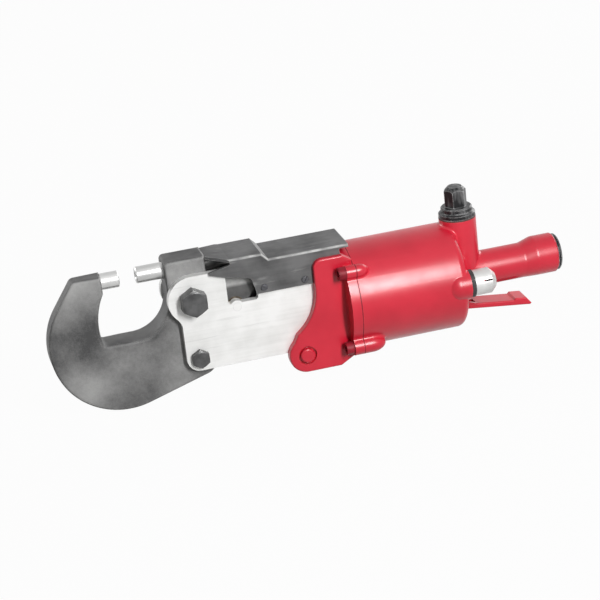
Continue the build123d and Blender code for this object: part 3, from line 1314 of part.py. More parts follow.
NODES = {
    "cylinder": cylinder(),
    "inlet_bushing": inlet_bushing(),
    "inlet_screen": inlet_screen(),
    "front_head": front_head(),
    "head_gasket": head_gasket(),
    "head_bolts": head_bolts(),
    "rod_bush": rod_bush(),
    "rod_seal": rod_seal(),
    "piston_bumper": piston_bumper(),
    "piston": piston(),
    "piston_seal": piston_seal(),
    "piston_rod": piston_rod(),
    "piston_nut": piston_nut(),
    "piston_return_spring": piston_return_spring(),
    "crosshead": crosshead(),
    "roller_pins": roller_pins(),
    "upper_roller": roller(ROLLER_Z),
    "lower_roller": roller(-ROLLER_Z),
    "roller_track": roller_track(),
    "rocker": rocker(),
    "rocker_bush": rocker_bush(),
    "rocker_pin": rocker_pin(),
    "plunger": plunger(),
    "moving_die": die(X_PLUNGER, -1, MOVING_DIE_LENGTH),
    "fixed_die": die(X_JAW, 1, FIXED_DIE_LENGTH),
    "yoke": yoke(),
    "yoke_bolt": side_bolt(HEX_BOLT_Z, HEX_BOLT_R, HEX_BOLT_AF, HEX_BOLT_HEAD_H, HEX_NUT_H),
    "yoke_nut": side_nut(HEX_BOLT_Z, HEX_BOLT_R, HEX_BOLT_AF, HEX_NUT_H),
    "yoke_lower_bolt": side_bolt(LOWER_BOLT_Z, LOWER_BOLT_R, LOWER_BOLT_AF, LOWER_BOLT_HEAD_H, LOWER_NUT_H),
    "yoke_lower_nut": side_nut(LOWER_BOLT_Z, LOWER_BOLT_R, LOWER_BOLT_AF, LOWER_NUT_H),
    "side_plate_near": side_plate(),
    "side_plate_far": mirror(side_plate(), about=Plane.XZ),
    "plate_dowels": plate_dowels(),
    "ear_bolt": ear_bolt(),
    "ear_nut": ear_nut(),
    "ear_spacer": ear_spacer(),
    "cover": cover(),
    "cover_screws": cover_screws(),
    "valve_seat": valve_seat(),
    "stem_bush": stem_bush(),
    "throttle_valve": throttle_valve(),
    "valve_spring": valve_spring(),
    "valve_cap": valve_cap(),
    "valve_cap_gasket": valve_cap_gasket(),
    "lever_pin": lever_pin(),
    "throttle_lever": throttle_lever(),
    "exhaust_gasket": exhaust_gasket(),
    "exhaust_cap": exhaust_cap(),
    "silencer_felt": silencer_felt(),
}

os.makedirs("parts", exist_ok=True)
for name, shape in NODES.items():
    pieces = shape if isinstance(shape, list) else [shape]
    solids = [Pos(0, 0, -HANDLE_END_RISE) * solid for piece in pieces for solid in piece.solids()]
    export_step(Compound(children=solids), f"parts/{name}.step")
print("swing of the rocker, degrees", round(math.degrees(SWING), 3))
lift = stem_foot_z(LEVER_SQUEEZE - LEVER_SLOPE) - stem_foot_z(-LEVER_SLOPE)
print("lift of the throttle valve", round(lift, 3))
print("pivot", round(X_PIVOT, 3), "rollers", round(X_ROLLER, 3))
print("stub", round(X_STUB, 3), "lever", round(X_LEVER, 3))
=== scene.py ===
import math

import bpy
from mathutils import Matrix, Vector


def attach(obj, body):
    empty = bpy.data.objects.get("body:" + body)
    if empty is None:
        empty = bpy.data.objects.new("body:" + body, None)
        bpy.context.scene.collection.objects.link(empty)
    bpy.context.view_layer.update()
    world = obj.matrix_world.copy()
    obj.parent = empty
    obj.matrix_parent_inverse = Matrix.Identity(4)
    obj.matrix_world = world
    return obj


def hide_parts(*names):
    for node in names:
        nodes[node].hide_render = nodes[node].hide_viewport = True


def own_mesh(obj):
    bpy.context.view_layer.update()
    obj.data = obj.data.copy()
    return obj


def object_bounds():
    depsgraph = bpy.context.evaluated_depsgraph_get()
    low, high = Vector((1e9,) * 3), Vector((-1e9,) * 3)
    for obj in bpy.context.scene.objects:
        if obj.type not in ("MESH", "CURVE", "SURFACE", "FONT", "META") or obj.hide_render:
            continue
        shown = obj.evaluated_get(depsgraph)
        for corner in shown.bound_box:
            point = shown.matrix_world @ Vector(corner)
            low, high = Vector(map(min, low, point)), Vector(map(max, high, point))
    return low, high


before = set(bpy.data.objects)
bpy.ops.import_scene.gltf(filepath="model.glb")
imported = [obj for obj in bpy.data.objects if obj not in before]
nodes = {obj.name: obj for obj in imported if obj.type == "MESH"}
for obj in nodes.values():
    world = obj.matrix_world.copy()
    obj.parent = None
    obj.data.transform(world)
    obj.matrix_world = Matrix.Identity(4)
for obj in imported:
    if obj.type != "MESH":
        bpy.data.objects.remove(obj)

cad_low, cad_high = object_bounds()

# Camera: it stands left of the tool and above it, rolled so that the tool climbs to the right
IMAGE_SIDE = 600
CAMERA_AZIMUTH = math.radians(-12.3)
CAMERA_ELEVATION = math.radians(21.0)
CAMERA_ROLL = math.radians(6.7)
FOCAL_PIXELS = 2200
METRES_PER_PIXEL = 0.00079
INLET_PIXEL = (556.3, 250.9)
SENSOR_WIDTH = 36.0

# Floor: how far it is under the tool, its side, its matt tone and the share of it that glows
FLOOR_DROP = 0.004
FLOOR_SIDE = 12.0
FLOOR_TONE = (0.30, 0.30, 0.29, 1)
FLOOR_GLOW = 0.97
# Strength of the world as it is seen, and as it lights the tool
WORLD_GLOW = 0.973
WORLD_LIGHT = 0.06
# Lamps: a tall one right of the camera, a weak one above, two on the far side.
# Name, azimuth and elevation in degrees, distance, width, height, power
LAMPS = (
    ("key", 15, 27, 1.3, 0.15, 0.56, 16.5),
    ("top", 0, 70, 1.8, 1.8, 1.3, 2),
    ("far_left", 228, 20, 1.8, 0.9, 0.7, 12),
    ("far_right", 128, 20, 1.8, 0.9, 0.7, 12),
)

# Tones of the finishes, each a dark and a pale one
ENAMEL = ((0.54, 0.008, 0.028), (0.64, 0.014, 0.038))
THIN_ENAMEL = ((0.78, 0.060, 0.075), (0.84, 0.085, 0.095))
# Dull red of the head bolts, darkened as painted shade, and of the gasket's dark joint
BOLT_SHADE_AND_JOINT_RED = ((0.16, 0.008, 0.016), (0.30, 0.012, 0.026))
FORGING_SCALE = ((0.055, 0.055, 0.056), (0.135, 0.134, 0.133))
MILLED_FACE = ((0.060, 0.060, 0.061), (0.400, 0.398, 0.394))
# Pale tone of the forging's worn edges, which also paints a highlight along them
FORGING_WEAR_AND_HIGHLIGHT = ((0.34, 0.34, 0.335), (0.52, 0.515, 0.51))
PLATE = ((0.74, 0.74, 0.725), (0.88, 0.88, 0.87))
PLATE_SCRATCH = ((0.56, 0.56, 0.55), (0.66, 0.66, 0.65))
PLATE_RIM = ((0.46, 0.46, 0.455), (0.62, 0.62, 0.61))
COVER_PAINT = ((0.080, 0.080, 0.081), (0.165, 0.165, 0.166))
# Pale tone of the cover's worn edges and scuffs, and of the painted highlight on its bends and
# slopes
COVER_WEAR_AND_HIGHLIGHT = ((0.42, 0.42, 0.415), (0.62, 0.62, 0.61))
BOLT_OXIDE = ((0.050, 0.050, 0.051), (0.105, 0.105, 0.106))
BOLT_CORNER = ((0.26, 0.26, 0.255), (0.42, 0.42, 0.41))
GROUND_STEEL = ((0.50, 0.50, 0.495), (0.60, 0.60, 0.595))
GROUND_EDGE = ((0.66, 0.66, 0.65), (0.78, 0.78, 0.77))
# Painted shade on the plunger's tail inside the cover
TAIL_SHADE = ((0.030, 0.030, 0.030), (0.075, 0.074, 0.072))
OILED_STEEL = ((0.060, 0.060, 0.060), (0.120, 0.119, 0.117))
# Painted highlight on the rocker's face
ROCKER_HIGHLIGHT = ((0.26, 0.26, 0.255), (0.40, 0.40, 0.395))
ALUMINIUM = ((0.56, 0.56, 0.55), (0.70, 0.70, 0.69))
ALUMINIUM_RIM = ((0.42, 0.42, 0.415), (0.56, 0.56, 0.555))
# Black of the fittings, streaked with painted highlight
FITTING_WITH_SHEEN_STREAKS = ((0.004, 0.004, 0.005), (0.200, 0.200, 0.202))
# Grey of the fittings' rims, from wear and from painted highlight
FITTING_RIM_WEAR_AND_GLINT = ((0.28, 0.282, 0.284), (0.50, 0.502, 0.504))
RUBBER = ((0.014, 0.014, 0.014), (0.03, 0.03, 0.03))
FIBRE = ((0.05, 0.028, 0.026), (0.11, 0.06, 0.05))
BRONZE = ((0.060, 0.050, 0.038), (0.130, 0.104, 0.076))
WIRE = ((0.24, 0.24, 0.24), (0.38, 0.38, 0.385))
FELT = ((0.22, 0.21, 0.19), (0.42, 0.4, 0.37))

# Patches of painted sheen (share above 0) and painted shade (share below 0) on the forging's faces:
# centre, radius, share of tone
FACE_SHEEN_AND_SHADE = (
    ((-0.396, 0, 0.010), 0.052, -0.26),
    ((-0.373, 0, 0.016), 0.044, -0.36),
    ((-0.386, 0, 0.049), 0.040, 0.66),
    ((-0.366, 0, -0.024), 0.046, 0.26),
    ((-0.354, 0, -0.052), 0.036, -0.22),
    ((-0.322, 0, -0.046), 0.050, 0.04),
)
# Heights of the rocker that bound its painted highlight, and end of the plunger's tail painted dark
# as shade
ROCKER_HIGHLIGHT_BAND = (0.0265, 0.0290)
PLUNGER_SHADED_TAIL = (-0.300, -0.296)

# Rays that look for an edge, the range of a noise that goes into the roughness, and the sockets
# of a colour Mix node
EDGE_RAYS = 6
ROUGHNESS_NOISE = (0.3, 0.7)
MIX_BELOW, MIX_ABOVE, MIXED = 6, 7, 2

# Slotted screws of the cover: places along the tool, sizes, and how each slot is turned
SCREW_X = (-0.2412, -0.2092)
SCREW_Z = 0.0251
SCREW_SEAT_Y = 0.0205
SCREW_SIDES = 64
SCREW_HEAD_R = 0.0027
SCREW_HEAD_H = 0.0013
SCREW_DOME = 0.0007
SCREW_DOME_STEPS = 5
SCREW_SHANK_R = 0.0015
SCREW_SHANK = 0.0060
SCREW_SLOT = 0.0007
SCREW_SLOT_DEPTH = 0.0007
SCREW_TURNS = (35, 118, 76, 160)

# Thread ridges: pitch, radius of the plain bar or bore, height of the ridge
INLET_THREAD = (0.00141, 0.0056, 0.0006)
YOKE_THREAD = (0.00125, 0.0060, 0.0004)
LOWER_THREAD = (0.00100, 0.0045, 0.0004)
EAR_THREAD = (0.00100, 0.0040, 0.0004)
# Where each ridge starts, and how long it is
INLET_THREAD_START = (-0.0012, 0, 0)
INLET_THREAD_LENGTH = 0.0125
YOKE_THREAD_START = (-0.2964, 0.0271, 0.0247)
LOWER_THREAD_START = (-0.2964, 0.0251, -0.0224)
SIDE_THREAD_LENGTH = 0.0012
EAR_THREAD_START = (-0.2148, 0.0276, -0.0349)
EAR_THREAD_LENGTH = 0.0008

# Springs: radius of the coil, radius of the wire, turns, length of the wire's middle line;
# and where that line starts
RETURN_SPRING = (0.0240, 0.00158, 5, 0.0456)
RETURN_SPRING_START = (-0.1656, 0, -0.0015)
VALVE_SPRING = (0.0052, 0.00058, 6, 0.0243)
VALVE_SPRING_START = (-0.0790, 0, 0.0192)
WIRE_SIDES = 16

# Steps of a helix in one turn, and radius of a thread's profile as a share of the pitch
HELIX_STEPS = 48
THREAD_PROFILE = 0.52
# Edges flatter than this are shaded smooth, and a face with this share of its normal along an axis
# looks that way
SMOOTH_ANGLE = math.radians(35)
LOOKS_ALONG = 0.9


def place_camera():
    """Camera that puts the air inlet on its pixel of the picture."""
    away = Vector((
        math.sin(CAMERA_AZIMUTH) * math.cos(CAMERA_ELEVATION),
        -math.cos(CAMERA_AZIMUTH) * math.cos(CAMERA_ELEVATION),
        math.sin(CAMERA_ELEVATION),
    ))
    level = Vector((math.cos(CAMERA_AZIMUTH), math.sin(CAMERA_AZIMUTH), 0))
    upright = away.cross(level)
    right = level * math.cos(CAMERA_ROLL) - upright * math.sin(CAMERA_ROLL)
    up = level * math.sin(CAMERA_ROLL) + upright * math.cos(CAMERA_ROLL)
    depth = FOCAL_PIXELS * METRES_PER_PIXEL
    across = (INLET_PIXEL[0] - IMAGE_SIDE / 2) * METRES_PER_PIXEL
    above = (IMAGE_SIDE / 2 - INLET_PIXEL[1]) * METRES_PER_PIXEL
    place = away * depth - right * across - up * above
    data = bpy.data.cameras.new("photo_camera")
    data.sensor_width = SENSOR_WIDTH
    data.lens = SENSOR_WIDTH * FOCAL_PIXELS / IMAGE_SIDE
    camera = bpy.data.objects.new("photo_camera", data)
    bpy.context.scene.collection.objects.link(camera)
    turn = Matrix((right, up, away)).transposed()
    camera.matrix_world = Matrix.Translation(place) @ turn.to_4x4()
    bpy.context.scene.camera = camera


class Nodes:
    """A new material, with short calls for the nodes that it is made of."""

    def __init__(self, name):
        self.material = bpy.data.materials.new(name)
        self.material.use_nodes = True
        self.tree = self.material.node_tree
        self.shader = self.tree.nodes["Principled BSDF"]
        self.coordinates = self.add("ShaderNodeTexCoord")
        self.place = self.coordinates.outputs["Object"]

    def add(self, kind, **settings):
        """New node of a kind, with its settings."""
        node = self.tree.nodes.new(kind)
        for key, value in settings.items():
            setattr(node, key, value)
        return node

    def join(self, output, target):
        self.tree.links.new(output, target)

    def set(self, **values):
        """Sets sockets of the shader; _ stands for the space in a socket's name."""
        for key, value in values.items():
            self.shader.inputs[key.replace("_", " ")].default_value = value

    def noise(self, scale, detail, stretch=(1, 1, 1)):
        """Noise over the piece; an axis with a stretch below 1 draws it out that way."""
        mapping = self.add("ShaderNodeMapping")
        mapping.inputs["Scale"].default_value = stretch
        self.join(self.place, mapping.inputs["Vector"])
        texture = self.add("ShaderNodeTexNoise")
        texture.inputs["Scale"].default_value = scale
        texture.inputs["Detail"].default_value = detail
        self.join(mapping.outputs["Vector"], texture.inputs["Vector"])
        return texture.outputs["Fac"]

    def spread(self, value, start, end, low=0.0, high=1.0):
        """Maps the range start to end of a value to low to high, and cuts it off there."""
        node = self.add("ShaderNodeMapRange")
        ends = {"From Min": start, "From Max": end, "To Min": low, "To Max": high}
        for name, number in ends.items():
            node.inputs[name].default_value = number
        self.join(value, node.inputs["Value"])
        return node.outputs["Result"]

    def times(self, first, second):
        """One value times another."""
        node = self.add("ShaderNodeMath", operation="MULTIPLY")
        self.join(first, node.inputs[0])
        self.join(second, node.inputs[1])
        return node.outputs[0]

    def rounded(self, radius):
        """Normal of the surface with its edges rounded."""
        bevel = self.add("ShaderNodeBevel", samples=EDGE_RAYS)
        bevel.inputs["Radius"].default_value = radius
        return bevel.outputs["Normal"]

    def edges(self, radius, start=0.985, end=0.86):
        """Mask of sharp edges: 1 where the surface turns within the radius."""
        turn = self.add("ShaderNodeVectorMath", operation="DOT_PRODUCT")
        self.join(self.rounded(radius), turn.inputs[0])
        self.join(self.add("ShaderNodeNewGeometry").outputs["Normal"], turn.inputs[1])
        return self.spread(turn.outputs["Value"], start, end)

    def facing(self, axis, start, end):
        """Mask of the faces that look along an axis, either way."""
        parts = self.add("ShaderNodeSeparateXYZ")
        self.join(self.coordinates.outputs["Normal"], parts.inputs[0])
        size = self.add("ShaderNodeMath", operation="ABSOLUTE")
        self.join(parts.outputs[axis], size.inputs[0])
        return self.spread(size.outputs[0], start, end)

    def along(self, axis, start, end):
        """Ramp from 0 to 1 along an axis of the frame, in metres."""
        parts = self.add("ShaderNodeSeparateXYZ")
        self.join(self.place, parts.inputs[0])
        return self.spread(parts.outputs[axis], start, end)

    def patch(self, centre, radius):
        """Soft round patch: 1 at its centre, 0 at the radius."""
        mapping = self.add("ShaderNodeMapping")
        mapping.inputs["Location"].default_value = [-c / radius for c in centre]
        mapping.inputs["Scale"].default_value = [1 / radius] * 3
        self.join(self.place, mapping.inputs["Vector"])
        gradient = self.add("ShaderNodeTexGradient", gradient_type="SPHERICAL")
        self.join(mapping.outputs["Vector"], gradient.inputs["Vector"])
        return gradient.outputs["Fac"]

    def plus(self, first, second, share=1.0):
        """Adds a share of the second value to the first."""
        node = self.add("ShaderNodeMath", operation="MULTIPLY_ADD")
        self.join(second, node.inputs[0])
        node.inputs[1].default_value = share
        self.join(first, node.inputs[2])
        return node.outputs[0]

    def tones(self, value, pair, start=0.35, end=0.65):
        """Tone that a value moves from the dark one of the pair to the pale one."""
        ramp = self.add("ShaderNodeValToRGB")
        for element, place, tone in zip(ramp.color_ramp.elements, (start, end), pair):
            element.position = place
            element.color = (*tone, 1)
        self.join(value, ramp.inputs["Fac"])
        return ramp.outputs["Color"]

    def over(self, mask, below, above):
        """Lays one tone over another by a mask; each is a socket."""
        mix = self.add("ShaderNodeMix", data_type="RGBA")
        self.join(mask, mix.inputs["Factor"])
        self.join(below, mix.inputs[MIX_BELOW])
        self.join(above, mix.inputs[MIX_ABOVE])
        return mix.outputs[MIXED]

    def colour(self, tone):
        self.join(tone, self.shader.inputs["Base Color"])

    def roughness(self, value, low, high):
        """Roughness that a noise moves between low and high."""
        rough = self.spread(value, *ROUGHNESS_NOISE, low, high)
        self.join(rough, self.shader.inputs["Roughness"])

    def bump(self, value, strength, depth, under=None):
        """Raises the surface by a value, over another normal if there is one."""
        bump = self.add("ShaderNodeBump")
        bump.inputs["Strength"].default_value = strength
        bump.inputs["Distance"].default_value = depth
        self.join(value, bump.inputs["Height"])
        if under:
            self.join(under, bump.inputs["Normal"])
        self.join(bump.outputs["Normal"], self.shader.inputs["Normal"])
        return bump.outputs["Normal"]


def red_enamel():
    """Glossy red enamel on a casting, thin on the edges, with orange peel and casting waves."""
    look = Nodes("red_enamel")
    body = look.tones(look.noise(26, 3), ENAMEL)
    thin = look.tones(look.noise(60, 2), THIN_ENAMEL)
    worn = look.times(look.edges(0.0011), look.spread(look.noise(190, 4), 0.42, 0.66, 0.1, 0.7))
    look.colour(look.over(worn, body, thin))
    look.roughness(look.noise(150, 3), 0.285, 0.345)
    waves = look.bump(look.noise(48, 1), 0.10, 0.0011)
    look.bump(look.noise(850, 1), 0.035, 0.00008, waves)
    look.set(Specular_IOR_Level=0.55)
    return look.material


def dull_red():
    """Dull dark red on the head bolts, darkened as painted shade, and on the rim of the head gasket
    as a dark joint.
    """
    look = Nodes("dull_red")
    # Darker red on the bolts is painted shade; on the gasket it is a dark joint
    look.colour(look.tones(look.noise(160, 4), BOLT_SHADE_AND_JOINT_RED))
    look.roughness(look.noise(260, 3), 0.42, 0.56)
    look.bump(look.noise(900, 2), 0.08, 0.00006)
    look.set(Specular_IOR_Level=0.25)
    return look.material


def forged_steel():
    """Black forging: pale cloudy milled faces with painted sheen and shade, worn edges partly
    painted as highlight, scaled rims.
    """
    look = Nodes("forged_steel")
    scale = look.tones(look.noise(40, 5), FORGING_SCALE)
    grain = look.plus(look.noise(330, 4), look.noise(1100, 3))
    clouds_and_sheen = look.plus(look.noise(24, 4), grain, 0.16)
    # Patches of painted sheen and painted shade on the milled faces
    for centre, radius, share in FACE_SHEEN_AND_SHADE:
        clouds_and_sheen = look.plus(clouds_and_sheen, look.patch(centre, radius), share)
    milled = look.tones(clouds_and_sheen, MILLED_FACE, 0.43, 1.0)
    ground = look.over(look.facing("Y", 0.55, 0.93), scale, milled)
    # Edges worn pale, which also paints a highlight along them
    pale_tone = look.tones(look.noise(120, 3), FORGING_WEAR_AND_HIGHLIGHT)
    rub_and_glint = look.spread(look.noise(90, 4), 0.34, 0.58, 0.1, 0.95)
    worn = look.times(look.edges(0.0024, 0.995, 0.95), rub_and_glint)
    look.colour(look.over(worn, ground, pale_tone))
    look.roughness(look.noise(90, 4), 0.46, 0.60)
    lumps = look.bump(look.noise(230, 5), 0.22, 0.0003, look.rounded(0.0030))
    look.bump(look.noise(1500, 3), 0.20, 0.00008, lumps)
    look.set(Specular_IOR_Level=0.3)
    return look.material


def pale_plate():
    """Bright satin plate, ground along its length, with a faint grey rim."""
    look = Nodes("pale_plate")
    grain = look.plus(look.noise(45, 6), look.noise(420, 3, (0.03, 1, 1)), 0.35)
    ground = look.tones(grain, PLATE, 0.48, 0.80)
    scratch = look.spread(look.noise(210, 6, (0.06, 1, 0.9)), 0.63, 0.68, 0.0, 0.45)
    scratched = look.tones(look.noise(80, 2), PLATE_SCRATCH)
    ground = look.over(scratch, ground, scratched)
    rim = look.tones(look.noise(150, 3), PLATE_RIM)
    worn = look.times(look.edges(0.0006), look.spread(look.noise(90, 4), 0.35, 0.65, 0.15, 0.7))
    look.colour(look.over(worn, ground, rim))
    look.roughness(look.noise(55, 3, (0.06, 1, 1)), 0.34, 0.46)
    look.bump(look.noise(800, 2, (0.04, 1, 1)), 0.06, 0.00005)
    look.set(Metallic=0.25)
    return look.material


def cover_sheet():
    """Dark grey paint on folded sheet, with a painted highlight along its bends and on its slopes,
    and worn edges and scuffs.
    """
    look = Nodes("cover_sheet")
    grain = look.plus(look.noise(34, 5), look.noise(260, 4, (0.08, 1, 1)), 0.30)
    paint = look.tones(grain, COVER_PAINT, 0.50, 0.80)
    pale_tone = look.tones(look.noise(140, 3), COVER_WEAR_AND_HIGHLIGHT)
    # Painted highlight along the bends between the top and the sides
    fold_highlight = look.times(look.facing("Y", 0.12, 0.5), look.facing("Z", 0.12, 0.5))
    fold_highlight = look.times(fold_highlight, look.spread(look.noise(70, 4), 0.34, 0.60, 0.45, 1.0))
    # Painted highlight on the sloped faces of the steps
    step_highlight = look.times(look.facing("X", 0.15, 0.4), look.facing("Z", 0.15, 0.4))
    worn = look.times(look.edges(0.0010), look.spread(look.noise(110, 4), 0.40, 0.64, 0.0, 0.5))
    # The worn edges get the painted highlights of the bends and slopes added to them
    worn = look.plus(look.plus(worn, fold_highlight), step_highlight, 0.35)
    scuffs = look.spread(look.noise(170, 6, (0.25, 1, 1)), 0.63, 0.70)
    worn = look.plus(worn, scuffs, 0.22)
    look.colour(look.over(worn, paint, pale_tone))
    look.roughness(look.noise(120, 3), 0.42, 0.55)
    look.bump(look.noise(900, 2), 0.08, 0.00005)
    look.set(Specular_IOR_Level=0.16)
    return look.material


def dark_bolt():
    """Black oxide on steel bolts, bright on the corners that a spanner rubs."""
    look = Nodes("dark_bolt")
    oxide = look.tones(look.noise(130, 4), BOLT_OXIDE)
    steel = look.tones(look.noise(300, 3), BOLT_CORNER)
    worn = look.times(look.edges(0.0006), look.spread(look.noise(260, 4), 0.38, 0.64, 0.1, 0.8))
    look.colour(look.over(worn, oxide, steel))
    look.roughness(look.noise(380, 3), 0.36, 0.50)
    look.bump(look.noise(1500, 2), 0.09, 0.00005)
    look.set(Metallic=0.45)
    return look.material


def ground_steel():
    """Ground and polished steel of dies, pins and rollers."""
    look = Nodes("ground_steel")
    bright = look.tones(look.noise(60, 3), GROUND_STEEL)
    edge = look.tones(look.noise(200, 2), GROUND_EDGE)
    look.colour(look.over(look.edges(0.0005), bright, edge))
    look.roughness(look.noise(300, 3, (1, 0.2, 0.2)), 0.285, 0.36)
    look.bump(look.noise(1300, 1, (1, 0.08, 0.08)), 0.010, 0.00002)
    look.set(Metallic=0.75)
    return look.material


def oiled_plunger():
    """Ground steel plunger whose tail inside the cover is painted dark as shade."""
    look = Nodes("oiled_plunger")
    bright = look.tones(look.noise(60, 3), GROUND_STEEL)
    dark_tone = look.tones(look.noise(150, 4), TAIL_SHADE)
    # Painted shade: the tail behind the nose is made dark
    look.colour(look.over(look.along("X", *PLUNGER_SHADED_TAIL), bright, dark_tone))
    look.roughness(look.noise(300, 3, (1, 0.2, 0.2)), 0.30, 0.42)
    look.bump(look.noise(1300, 1, (1, 0.08, 0.08)), 0.010, 0.00002)
    look.set(Metallic=0.5)
    return look.material


def oiled_rocker():
    """Dark oil-stained steel of the rocker, with a painted highlight band where its face shows
    under the cover's arch.
    """
    look = Nodes("oiled_rocker")
    dark_tone = look.tones(look.noise(90, 5), OILED_STEEL)
    pale_tone = look.tones(look.noise(160, 4), ROCKER_HIGHLIGHT)
    # Painted highlight: a pale band across the face between two heights
    look.colour(look.over(look.along("Z", *ROCKER_HIGHLIGHT_BAND), dark_tone, pale_tone))
    look.roughness(look.noise(200, 3), 0.36, 0.50)
    look.bump(look.noise(1100, 2), 0.06, 0.00004)
    look.set(Metallic=0.2, Specular_IOR_Level=0.3)
    return look.material


def turned_aluminium():
    """Turned light alloy."""
    look = Nodes("turned_aluminium")
    bright = look.tones(look.noise(70, 3), ALUMINIUM)
    rim = look.tones(look.noise(160, 3), ALUMINIUM_RIM)
    worn = look.times(look.edges(0.0006), look.spread(look.noise(120, 4), 0.35, 0.65, 0.1, 0.6))
    look.colour(look.over(worn, bright, rim))
    look.roughness(look.noise(300, 3, (1, 0.1, 0.1)), 0.30, 0.42)
    look.bump(look.noise(1300, 1, (1, 0.06, 0.06)), 0.05, 0.00004)
    look.set(Metallic=0.4)
    return look.material


def black_fitting():
    """Black finish of the valve cap and the inlet bushing, streaked with painted highlight, with
    rims grey from wear and painted highlight.
    """
    look = Nodes("black_fitting")
    # Streaks of painted highlight run up the black
    black = look.tones(look.noise(190, 4, (1, 1, 0.22)), FITTING_WITH_SHEEN_STREAKS, 0.50, 0.74)
    grey = look.tones(look.noise(240, 3), FITTING_RIM_WEAR_AND_GLINT)
    # Rims grey from wear and from painted highlight
    rub_and_glint = look.spread(look.noise(210, 4), 0.36, 0.58, 0.2, 1.0)
    worn = look.times(look.edges(0.0012, 0.995, 0.90), rub_and_glint)
    look.colour(look.over(worn, black, grey))
    look.roughness(look.noise(240, 3), 0.285, 0.36)
    look.bump(look.noise(1300, 2), 0.08, 0.00005)
    look.set(Specular_IOR_Level=0.3)
    return look.material


def black_rubber():
    """Seal rubber."""
    look = Nodes("black_rubber")
    look.colour(look.tones(look.noise(200, 3), RUBBER))
    look.roughness(look.noise(300, 2), 0.6, 0.75)
    look.bump(look.noise(2200, 2), 0.12, 0.00005)
    return look.material


def gasket_fibre():
    """Pressed fibre of the flat gaskets."""
    look = Nodes("gasket_fibre")
    look.colour(look.tones(look.noise(900, 4), FIBRE))
    look.roughness(look.noise(400, 2), 0.75, 0.9)
    look.bump(look.noise(3000, 2), 0.2, 0.00005)
    return look.material


def bearing_bronze():
    """Oiled bronze of bushes and the valve seat."""
    look = Nodes("bearing_bronze")
    look.colour(look.tones(look.noise(120, 3), BRONZE))
    look.roughness(look.noise(400, 3), 0.30, 0.42)
    look.bump(look.noise(1800, 1), 0.06, 0.00004)
    look.set(Metallic=0.95)
    return look.material


def spring_wire():
    """Drawn spring wire."""
    look = Nodes("spring_wire")
    look.colour(look.tones(look.noise(200, 3), WIRE))
    look.roughness(look.noise(500, 2), 0.3, 0.45)
    look.bump(look.noise(2400, 1), 0.06, 0.00004)
    look.set(Metallic=0.9)
    return look.material


def grey_felt():
    """Felt of the silencer."""
    look = Nodes("grey_felt")
    look.colour(look.tones(look.noise(1200, 5), FELT))
    look.roughness(look.noise(600, 2), 0.9, 1.0)
    look.bump(look.noise(2600, 4), 0.5, 0.0002)
    return look.material


FINISHES = {
    red_enamel: ["cylinder", "front_head", "throttle_lever", "ear_bolt", "ear_nut"],
    dull_red: ["head_bolts", "head_gasket"],
    forged_steel: ["yoke", "crosshead"],
    oiled_rocker: ["rocker"],
    oiled_plunger: ["plunger"],
    pale_plate: ["side_plate_near", "side_plate_far", "rocker_pin"],
    cover_sheet: ["cover", "cover_screws"],
    dark_bolt: ["yoke_bolt", "yoke_nut", "yoke_lower_bolt", "yoke_lower_nut"],
    ground_steel: [
        "fixed_die", "moving_die", "upper_roller", "lower_roller", "roller_pins", "roller_track",
        "piston_rod", "piston_nut", "plate_dowels", "ear_spacer", "lever_pin", "throttle_valve",
    ],
    turned_aluminium: ["piston", "exhaust_cap"],
    black_fitting: ["valve_cap", "inlet_bushing"],
    black_rubber: ["piston_seal", "rod_seal", "piston_bumper", "exhaust_gasket"],
    gasket_fibre: ["valve_cap_gasket"],
    bearing_bronze: ["rod_bush", "rocker_bush", "stem_bush", "valve_seat", "inlet_screen"],
    spring_wire: ["piston_return_spring", "valve_spring"],
    grey_felt: ["silencer_felt"],
}


def paint_nodes():
    """Gives every node its finish."""
    for make, names in FINISHES.items():
        finish = make()
        for name in names:
            nodes[name].data.materials.clear()
            nodes[name].data.materials.append(finish)


def take(piece):
    """Selects one piece alone and makes it the active one."""
    bpy.ops.object.select_all(action="DESELECT")
    piece.select_set(True)
    bpy.context.view_layer.objects.active = piece


def settle():
    """Puts the place, turn and scale of the selected piece into its mesh."""
    bpy.ops.object.transform_apply(location=True, rotation=True, scale=True)


def pick_faces(piece, wanted):
    """Goes into edit mode with only the faces selected that the test accepts."""
    bpy.context.tool_settings.mesh_select_mode = (False, False, True)
    bpy.ops.object.mode_set(mode="EDIT")
    bpy.ops.mesh.select_all(action="DESELECT")
    bpy.ops.object.mode_set(mode="OBJECT")
    for face in piece.data.polygons:
        face.select = wanted(face)
    bpy.ops.object.mode_set(mode="EDIT")


def join_tool(piece, name, finish):
    """Names a finished piece and ties it to the frame."""
    piece.name = piece.data.name = name
    piece.data.materials.clear()
    piece.data.materials.append(bpy.data.materials[finish])
    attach(piece, "frame")


